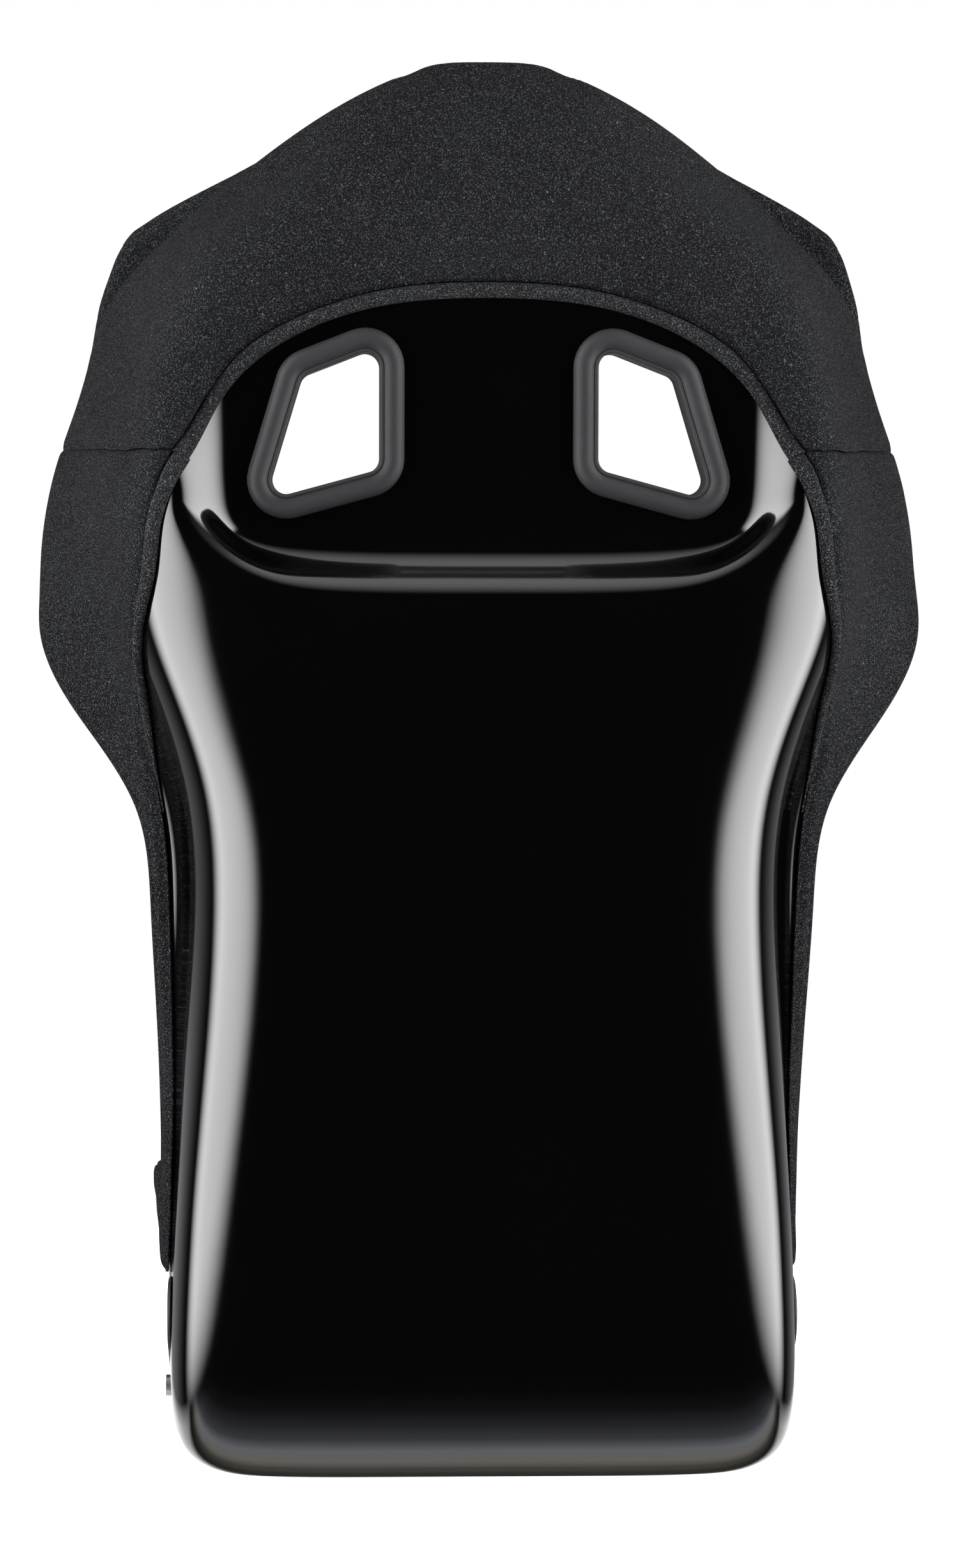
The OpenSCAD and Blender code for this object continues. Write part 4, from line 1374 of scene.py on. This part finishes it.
@dataclass
class SlotSurrounds:
    """Moulded surrounds of the belt slots, outside and inside."""

    loft: SeatLoft
    slots: BeltSlots
    steps: int = 10
    crease: float = 50.0

    def ring(self, name: str, slot: BeltSlot, shape: SurroundShape) -> Object:
        """Sweeps a section round a slot into a closed ring."""
        section = shape.section()
        loops = np.stack([slot.outline(offset, self.steps) for offset, _ in section])
        n_section, n_loop = loops.shape[:2]

        def place(a: Array, b: Array) -> Array:
            i, j = a.astype(int) % n_loop, b.astype(int) % n_section
            height = shape.stand + section[j, 1] * (-1 if shape.inward else 1)
            return slot.to_seat(np.column_stack([loops[j, i], height]))

        columns, rows = np.arange(n_loop + 1.0), np.arange(n_section + 1.0)
        piece = grid_mesh(name, columns, rows, place, closed=True)
        close_body(piece)
        sharpen(piece, self.crease)
        return piece

    def build(self, finish: Material) -> list[Object]:
        """Builds all nine surrounds."""
        s = self.loft.sizes
        wide, high, lap_w, sleeve = s.bezel_w, s.bezel_h, s.lap_bezel_w, s.sleeve_t
        deep = s.shell_t + s.gap + s.upper_pad_t
        lap_deep = s.shell_t + s.gap + s.bolster_t
        harness, lap = self.slots.harness, self.slots.lap
        rear = SurroundShape(wide, high, sleeve, deep, 1.4, 2 * s.gap, False)
        front = SurroundShape(wide - 3, high * 0.5, 2.0, 0.2, 0.8, -deep - 0.4, True)
        outer = SurroundShape(lap_w, high * 0.24, sleeve, lap_deep, 0.6, -1.6, False)
        inner = SurroundShape(lap_w, high * 0.4, 2.0, 0.2, 0.7, 1.2 - lap_deep, True)
        crotch = SurroundShape(wide * 0.5, high * 0.4, sleeve, 3.4, 0.7, -s.shell_t - 0.3, True)
        kinds = [
            ("harness_bezel_rear", harness, rear),
            ("harness_bezel_front", harness, front),
            ("lap_bezel_outer", lap, outer),
            ("lap_bezel_inner", lap, inner),
        ]
        rows = [
            (f"{word}_{side.word}", self.slots.pair(slot, side), shape)
            for side in Side
            for word, slot, shape in kinds
        ]
        rows.append(("crotch_bezel", self.slots.crotch, crotch))
        return [
            fix_piece(self.ring(f"surround_{node}", slot, shape), finish, [node])
            for node, slot, shape in rows
        ]


# ---------------------------------------------------------------- cushions


@dataclass(frozen=True)
class PadShape:
    """One cushion or pad, in the loft's columns and sections.

    It has its thickness and the turn of its face at its low and its high column, the
    share of the thickness left at its edges across and along, its crown, the sections
    of its channels, and whether a second one stands on the right.
    """

    node: str
    u: tuple
    v: tuple
    thick: tuple
    turns: tuple = (0.0, 0.0)
    edges: tuple = (0.7, 0.45)
    crown: float = 0.1
    channels: tuple = ()
    sided: bool = False
    fill: float = 0.7

    @property
    def names(self) -> list[str]:
        """Names of its nodes, the left one first."""
        return [f"{self.node}_{side.word}" for side in Side] if self.sided else [self.node]


@dataclass
class Cushions:
    """Cushions and side pads, swelled as cloth over foam and then sewn.

    Lengths are millimetres. A pad lies on its bed of glue. Its blank is drawn in at its
    sides and starts at a share of its thickness, and swelling moves no point by more
    than the reach. A sewn line has a depth and a width, and an edge seam starts with the
    share of the thickness at which it runs.
    """

    loft: SeatLoft
    slots: BeltSlots
    voxel: float = 5.0
    quick_voxel: float = 7.0
    reach: float = 3.0
    draw_in: float = 2.3
    start_share: float = 0.93
    hole_ease: float = 9.0
    frames: int = 14
    bed: float = 0.4
    strap_room: float = 3.0
    channel_seam: tuple = (7.5, 4.6)
    edge_seam: tuple = (0.55, 2.4, 2.8)

    def shapes(self) -> list[PadShape]:
        """All the pads; a sided one is made once and turned over for the right."""
        s = self.loft.sizes
        middle, beside = (-2.12, 2.12), (2.18, 5.43)
        head_v = (21.52, 24.61)
        side = {
            "thick": (s.bolster_t, s.bolster_rim_t),
            "edges": (0.8, 0.5),
            "sided": True,
            "fill": 0.6,
        }

        def even(thickness: float, **more: object) -> dict:
            return {"thick": (thickness, thickness), **more}

        leg = even(s.leg_cushion_t, crown=0.12)
        seat = even(s.seat_cushion_t, channels=(5.5,))
        back = even(s.back_cushion_t, channels=(11.0, 12.5, 14.0))
        upper = even(s.upper_pad_t, edges=(1.0, 0.45), crown=0.0)
        head = even(s.head_pad_t, edges=(0.5, 0.45), crown=0.15)
        return [
            PadShape("leg_cushion", middle, (0.39, 2.48), **leg),
            PadShape("seat_cushion", middle, (2.52, 7.98), **seat),
            PadShape("back_cushion", middle, (8.02, 16.98), **back),
            PadShape("upper_back_pad", middle, (17.02, 21.48), **upper),
            PadShape("head_pad", (-2.6, 2.6), head_v, **head),
            PadShape("thigh_pad", beside, (0.39, 8.98), turns=(0, 72), **side),
            PadShape("torso_bolster", beside, (9.02, 14.18), turns=(0, 72), **side),
            PadShape("shoulder_pad", beside, (14.22, 21.48), turns=(0, 72), **side),
            PadShape("head_side_pad", (2.66, beside[1]), head_v, turns=(0, 60), **side),
        ]

    def front(self, shape: PadShape, share: float, u: Array, v: Array) -> Array:
        """Point at a share of the pad's thickness over the shell's inner face."""
        s = self.loft.sizes
        a, b = ((x - low) / (high - low) for x, (low, high) in ((u, shape.u), (v, shape.v)))
        back = self.loft.place(u, v, -(s.shell_t + s.gap + self.bed))

        def swell(x: Array, sharp: float) -> Array:
            return np.sqrt(np.maximum(0, 1 - np.abs(2 * x - 1) ** sharp))

        ex = mix(shape.edges[0], 1, swell(a, 6))
        ey = mix(shape.edges[1], 1, swell(b, 8))
        dome = 1 + shape.crown * (1 - (2 * b - 1) ** 2) * (1 - (2 * a - 1) ** 2)
        thick = mix(*shape.thick, a * a * (3 - 2 * a)) * ex * ey * dome
        turn = np.radians(mix(*shape.turns, 1 - (1 - a) ** 2))
        lean = np.radians(self.loft.lean_at(v))
        side = np.sign(sum(shape.u))
        ways = [-side * np.sin(turn), np.cos(lean) * np.cos(turn), np.sin(lean) * np.cos(turn)]
        return back + unit(np.stack(ways, -1)) * (thick * share)[:, None]

    def inset(self, shape: PadShape) -> tuple[Array, Array]:
        """The pad's low and high (u, v) corners, drawn in for the swelling."""
        low, high = np.array([shape.u, shape.v]).T
        mid = (low + high) / 2
        across = self.loft.place(np.array(shape.u), np.full(2, mid[1]), 0)
        along = self.loft.place(np.full(2, mid[0]), np.array(shape.v), 0)
        spans = np.array([np.linalg.norm(ends[1] - ends[0]) for ends in (across, along)])
        drawn = self.draw_in / spans * (high - low)
        return low + drawn, high - drawn

    def blank(self, shape: PadShape) -> Object:
        """Closed body of the pad, a little inside its final size."""
        low, high = self.inset(shape)
        columns, rows = (
            np.linspace(low[k], high[k], max(least, int(density * (high[k] - low[k]))))
            for k, (least, density) in enumerate(((12, 12), (16, 9)))
        )
        mesh = bpy.data.meshes.new(shape.node)
        with editing(mesh) as bm:
            for share in (self.start_share, 0.0):
                skin = grid_mesh("pad_skin", columns, rows, partial(self.front, shape, share))
                bm.from_mesh(skin.data)
                removed(skin)
            bmesh.ops.bridge_loops(bm, edges=[e for e in bm.edges if e.is_boundary])
            bmesh.ops.recalc_face_normals(bm, faces=bm.faces)
        return shown(f"padded_{shape.names[0]}", mesh)

    def holes(self, shape: PadShape) -> list[tuple[BeltSlot, float]]:
        """Slots that go through a pad, each with its clearance."""
        s = self.loft.sizes
        clear = s.sleeve_t + s.gap
        harness = [(self.slots.pair(self.slots.harness, side), clear) for side in Side]
        return {
            "upper_back_pad": harness,
            "thigh_pad": [(self.slots.lap, clear)],
            "seat_cushion": [(self.slots.crotch, clear + self.strap_room)],
        }.get(shape.node, [])

    def build(
        self, cushion: Material, side_cloth: Material
    ) -> list[Object]:
        pieces = []
        for shape in self.shapes():
            piece = self.blank(shape)
            for slot, clear in self.holes(shape):
                bore(piece, slot, clear)
            relax(piece, self.voxel)
            self.swell(piece, shape)
            self.sew(piece, shape)
            bodies = [piece]
            if shape.sided:
                mesh = piece.data.copy()
                write_points(mesh, read_points(mesh) * OTHER_SIDE)
                mesh.flip_normals()
                bodies.append(shown(f"padded_{shape.names[1]}", mesh))
            finish, slot = (side_cloth, Slot.SIDE_PAD) if shape.sided else (cushion, Slot.CUSHION)
            for body, node in zip(bodies, shape.names):
                pieces.append(fix_piece(body, finish, [node]))
        return pieces

    def ways(self, shape: PadShape, points: Array) -> Array:
        """Directions out of the shell at the places nearest to some points."""
        u, v = np.meshgrid(np.linspace(*shape.u, 24), np.linspace(*shape.v, 48))
        back, front = (self.front(shape, share, u.ravel(), v.ravel()) for share in (0.0, 1.0))
        return unit(front - back)[nearest_marks((back + front) / 2, points)[0]]

    def swell(self, piece: Object, shape: PadShape) -> None:
        """Fills the pad out as cloth, not into the shell or a slot, and evens its mesh."""
        start = read_points(piece.data)
        blow(piece, self.frames)
        move = read_points(piece.data) - start
        way = self.ways(shape, start)
        move -= way * np.minimum(np.sum(move * way, axis=1), 0)[:, None]
        move *= np.minimum(1, self.reach / np.maximum(np.linalg.norm(move, axis=1), 1e-6))[:, None]
        for slot, clear in self.holes(shape):
            away = slot.clearance(slot.to_local(start)[:, :2]) - clear
            move *= np.clip(away / self.hole_ease, 0, 1)[:, None]
        write_points(piece.data, start + move)
        finer = piece.modifiers.new("Finer", "SUBSURF")
        finer.levels = finer.render_levels = 1
        apply_modifiers(piece)

    def seams(self, shape: PadShape) -> list[tuple[Array, float, float]]:
        """The pad's sewn lines: points, depth and width of each."""
        low, high = self.inset(shape)
        across, along = np.linspace(low, high, 90).T
        share, *edge = self.edge_seam
        lines = [
            (self.front(shape, 1.0, across, np.full_like(across, v)), *self.channel_seam)
            for v in shape.channels
        ]
        for u, v in (low, high):
            lines.append((self.front(shape, share, across, np.full_like(across, v)), *edge))
            lines.append((self.front(shape, share, np.full_like(along, u), along), *edge))
        return lines

    def sew(self, piece: Object, shape: PadShape) -> None:
        """Draws the cloth in along the pad's sewn lines."""
        points = read_points(piece.data)
        normals = read_points(piece.data, "normal", 1.0)
        depth = np.zeros(len(points))
        for line, deep, wide in self.seams(shape):
            depth = np.maximum(depth, deep * bump(nearest_marks(line, points)[1], wide))
        write_points(piece.data, points - normals * depth[:, None])


def bore(piece: Object, slot: BeltSlot, clear: float, depth: float = 70.0) -> None:
    """Takes a slot out of a closed body.

    Args:
        piece: The body.
        slot: The slot.
        clear: Clearance round the slot's outline, in millimetres.
        depth: How far the slot reaches to both sides of its plane.
    """
    ring = slot.outline(clear, 6)
    low, high = (
        slot.to_seat(np.column_stack([ring, np.full(len(ring), z)])) * MM for z in (-depth, depth)
    )
    mesh = bpy.data.meshes.new("bore")
    with editing(mesh) as bm:
        bmesh.ops.create_circle(bm, cap_ends=True, segments=len(ring), radius=1.0)
        for vert, point in zip(bm.verts, low):
            vert.co = point
        grown = bmesh.ops.extrude_face_region(bm, geom=bm.faces[:])["geom"]
        top = [part for part in grown if isinstance(part, bmesh.types.BMVert)]
        bmesh.ops.translate(bm, verts=top, vec=high[0] - low[0])
        bmesh.ops.recalc_face_normals(bm, faces=bm.faces)
    cutter = linked("bore", mesh)
    cut = piece.modifiers.new("Bore", "BOOLEAN")
    cut.operation = "DIFFERENCE"
    cut.solver = "EXACT"
    cut.object = cutter
    apply_modifiers(piece)
    removed(cutter)


def blow(piece: Object, frames: int) -> None:
    """Blows a body up as weightless cloth."""
    cloth = piece.modifiers.new("Cover", "CLOTH")
    settings = cloth.settings
    settings.quality = 4
    settings.mass = 0.3
    settings.tension_stiffness = settings.compression_stiffness = 14.0
    settings.bending_stiffness = 0.6
    settings.use_pressure = True
    settings.uniform_pressure_force = 4.0
    settings.effector_weights.gravity = 0.0
    cloth.collision_settings.use_collision = False
    cloth.collision_settings.use_self_collision = False
    for frame in range(1, frames + 1):
        bpy.context.scene.frame_set(frame)
    apply_modifiers(piece)
    bpy.context.scene.frame_set(1)


def relax(piece: Object, voxel: float) -> None:
    """Remeshes a body into even quads of that size in millimetres."""
    remesh = piece.modifiers.new("Even", "REMESH")
    remesh.mode = "VOXEL"
    remesh.voxel_size = voxel * MM
    remesh.use_smooth_shade = True
    apply_modifiers(piece)


# ---------------------------------------------------------------- studio


def aim(thing: Object, at: Sequence[float], way: Vector) -> None:
    """Stands a camera or lamp somewhere, looking a way."""
    thing.location = at
    thing.rotation_mode = "QUATERNION"
    thing.rotation_quaternion = way.to_track_quat("-Z", "Y")


@dataclass(frozen=True)
class Softbox:
    """One studio light: where it stands, what it faces and how bright its face is.

    Fades are shares of the width and height over which its face dims: at the low and
    the high end of the width, then of the height. Glossy faces mirror it or don't.
    """

    name: str
    at: tuple
    aim: tuple
    size: tuple
    radiance: float
    fades: tuple = ()
    mirrored: bool = True


@dataclass
class Studio:
    """Camera, backdrop, floor and lights, in metres.

    The floor's shine is a painted reflection: a band of the floor that glows only for glossy
    rays. Its stops give how far behind the seat's foot a glossy face sees it, how bright it
    glows there, and 0 for a warm or 1 for a cool tint.
    """

    lens: float = 36.0 * 6974.0 / 2454.0
    sensor: float = 36.0
    camera_at: tuple = (0.1012, 3.052, 0.4505)
    camera_way: tuple = (-0.0349, -0.9994, 0.0)
    floor_rear: float = 1.2
    floor_reach: float = 1.6
    floor_z: float = -0.0006
    foot: float = 0.17
    floor_end: tuple = (0.26, 0.34)
    tints: tuple = ((1.0, 0.97, 0.86), (0.94, 0.97, 1.06))
    shine_top: float = 2.0
    # stops of the painted reflection: how bright the floor glows for glossy rays behind the seat's
    # foot
    floor_shine: tuple = (
        (0.0, 0.04, 0), (0.01, 0.10, 0), (0.02, 0.34, 0), (0.031, 1.3, 0), (0.044, 1.7, 1),
        (0.06, 0.62, 1), (0.082, 0.28, 1), (0.11, 0.08, 1), (0.147, 0.025, 1), (0.19, 0.012, 1),
    )

    @staticmethod
    def boxes() -> list[Softbox]:
        """A wall of light on each side, one light overhead and a fill from the front."""
        walls = [
            Softbox(
                f"wall_of_light_{side.word}",
                at=(1.30 * side.value, 1.75, 1.05),
                aim=(0.0, 1.75, 1.05),
                size=(4.4, 3.1),
                radiance=8.6,
                fades=(*(0.16, 0.75)[:: side.value], 0.15, 0.2),
            )
            for side in Side
        ]
        over = Softbox(
            "overhead", (0.0, 0.4, 2.3), (0.0, 0.3, 0.4), (2.4, 2.6), 1.5, (0.3, 0.3, 0.5, 0.5)
        )
        fill = Softbox(
            "front_fill", (0.0, -2.6, 1.5), (0.0, 0.1, 0.5), (1.6, 2.0), 6.0, mirrored=False
        )
        return [*walls, over, fill]

    def camera(self) -> None:
        """Makes the camera first of all."""
        data = bpy.data.cameras.new("studio_camera")
        data.lens = self.lens
        data.sensor_width = self.sensor
        data.clip_end = 50.0
        eye = linked("studio_camera", data)
        aim(eye, self.camera_at, Vector(self.camera_way))
        bpy.context.scene.camera = eye

    def lights(self) -> None:
        """Places the softboxes."""
        for box in self.boxes():
            data = bpy.data.lights.new(box.name, "AREA")
            data.shape = "RECTANGLE"
            data.size, data.size_y = box.size
            data.energy = box.radiance * box.size[0] * box.size[1] * math.pi
            if box.fades:
                self._soften(data, box.fades)
            lamp = linked(box.name, data)
            aim(lamp, box.at, Vector(box.aim) - Vector(box.at))
            lamp.visible_camera = False
            lamp.visible_glossy = box.mirrored

    @staticmethod
    def _soften(data: bpy.types.AreaLight, fades: Sequence[float]) -> None:
        """Dims a light's face toward its ends."""
        data.use_nodes = True
        smith = NodeSmith(data.node_tree)
        shader = next(n for n in data.node_tree.nodes if n.type == "EMISSION")
        parts = smith.parts(smith.add("ShaderNodeNewGeometry").outputs["Parametric"])
        ends = zip("XXYY", (0.0, 1.0, 0.0, 1.0), (1, -1, 1, -1), fades)
        edges = [
            smith.ramp(parts[axis], end, end + way * share, interpolation_type="SMOOTHSTEP")
            for axis, end, way, share in ends
        ]
        smith.feed(shader, Strength=reduce(partial(smith.math, "MULTIPLY"), edges))

    @staticmethod
    def backdrop() -> None:
        """White backdrop that glows on the seat from its front side, in a dark room."""
        world = bpy.data.worlds.new("studio_world")
        bpy.context.scene.world = world
        world.use_nodes = True
        world.node_tree.nodes.clear()
        smith = NodeSmith(world.node_tree)
        fore = smith.parts(smith.place("Generated"))["Y"]
        glow = smith.ramp(
            fore, -0.5, -1.0, To_Min=0.01, To_Max=0.25, interpolation_type="SMOOTHSTEP"
        )
        room = smith.add("ShaderNodeBackground", Color=(0.95, 0.97, 1, 1), Strength=glow)
        white = smith.add("ShaderNodeBackground", Color=(1, 1, 1, 1), Strength=1.0)
        seen = smith.add("ShaderNodeLightPath").outputs["Is Camera Ray"]
        smith.add("ShaderNodeOutputWorld", Surface=smith.blend(seen, room, white).outputs[0])
        settings = bpy.context.scene.view_settings
        settings.view_transform = "Standard"
        settings.look = "None"

    def floor(self) -> None:
        """Pale floor under the seat."""
        reach, rear = self.floor_reach, self.floor_rear
        mesh = bpy.data.meshes.new("studio_floor")
        with editing(mesh) as bm:
            bmesh.ops.create_grid(bm, x_segments=8, y_segments=8, size=1.0)
            for vert in bm.verts:
                x, y, _ = vert.co
                vert.co = (x * reach, rear + (y - 1) * (reach + rear) / 2, self.floor_z)
        piece = shown("studio_floor", mesh)
        mesh.materials.append(self._floor_finish())

    def _floor_finish(self) -> Material:
        """Pale ground that the camera sees lit, and that the gloss of the seat sees as a glowing
        band, a painted reflection.
        """
        material, smith, shader = new_material("pale_floor")
        place = smith.place()
        mottle = smith.noise(place, 3.0, Detail=2.0)
        ground = smith.two_tone(mottle, (0.80, 0.80, 0.79), (0.84, 0.84, 0.83))
        smith.feed(shader, Base_Color=ground, Roughness=0.9)
        rays = smith.add("ShaderNodeLightPath").outputs
        lit = smith.add("ShaderNodeAddShader")
        glow = smith.add("ShaderNodeEmission", Strength=1.0)
        for source, socket in zip((shader, glow), lit.inputs):
            smith.join(source.outputs[0], socket)
        pale = smith.blend(rays["Is Camera Ray"], shader, lit)
        parts = smith.parts(place)
        away = smith.math("SUBTRACT", parts["Y"], self.foot)
        # painted reflection: an emission band that only glossy rays see stands in for the lit floor
        # mirrored in the shell; beyond floor_end the gloss sees no floor at all
        shine = smith.add(
            "ShaderNodeEmission", Color=self._shine(smith, away), Strength=self.shine_top
        )
        behind = smith.ramp(away, -0.02, 0.0)
        beside = smith.ramp(smith.math("ABSOLUTE", parts["X"]), *self.floor_end)
        near, far = (
            smith.math("MULTIPLY", mask, rays["Is Glossy Ray"]) for mask in (behind, beside)
        )
        clear = smith.add("ShaderNodeBsdfTransparent")
        face = smith.blend(far, smith.blend(near, pale, shine), clear)
        out = next(n for n in material.node_tree.nodes if n.type == "OUTPUT_MATERIAL")
        smith.feed(out, Surface=face.outputs[0])
        return material

    def _shine(self, smith: NodeSmith, away: Socket) -> Socket:
        """Colour of the floor's painted reflection glow at a way behind the foot."""
        reach = self.floor_shine[-1][0]
        ramp = smith.add("ShaderNodeValToRGB", Fac=smith.math("DIVIDE", away, reach))
        band = ramp.color_ramp
        while len(band.elements) < len(self.floor_shine):
            band.elements.new(0.5)
        for stop, (at, light, cool) in zip(band.elements, self.floor_shine):
            stop.position = at / reach
            stop.color = (*(light / self.shine_top * c for c in self.tints[cool]), 1)
        return ramp.outputs["Color"]

    def build(self) -> None:
        """Sets the whole studio."""
        self.camera()
        self.backdrop()
        self.lights()
        self.floor()


# ---------------------------------------------------------------- the seat


def dress_inserts(nodes: dict, finish: Material) -> None:
    """Gives the side inserts their steel."""
    inserts = nodes["mount_inserts"]
    inserts.data.materials.clear()
    inserts.data.materials.append(finish)


def dress_seat(loft: SeatLoft, effects: Effects) -> None:
    """Makes every piece of the seat in its finish."""
    pale = (0.085, 0.0865, 0.092)
    knit = KnitCloth("charcoal_knit").build(effects)
    hem_knit = KnitCloth("hem_knit", dark=(0.0045, 0.0046, 0.005), light=pale).build(effects)
    side_knit = KnitCloth("side_knit", (0.006, 0.0061, 0.0067), pale, stitch=0.0).build(effects)
    cushion_knit = KnitCloth(
        "cushion_knit",
        dark=(0.009, 0.0092, 0.0099),
        light=(0.11, 0.112, 0.118),
        scale=700.0,
        stitch=0.0,
    ).build(effects)
    slots = BeltSlots(loft)
    MouldedShell(loft, slots).build(GlossLaminate().build(effects))
    covers = WrappedCovers(loft)
    covers.build(knit)
    RolledHems(loft, covers).build(hem_knit)
    SlotSurrounds(loft, slots).build(GrainedPlastic().build(effects))
    Cushions(loft, slots).build(cushion_knit, side_knit)


def main() -> None:
    """Builds the studio and the seat."""
    logging.basicConfig(level=logging.INFO, format="%(message)s")
    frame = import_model()
    Studio().build()
    effects = Effects()
    dress_seat(SeatLoft(SeatSizes()), effects)
    dress_inserts(frame["nodes"], BrushedSteel().build(effects))


if __name__ == "__main__":
    main()
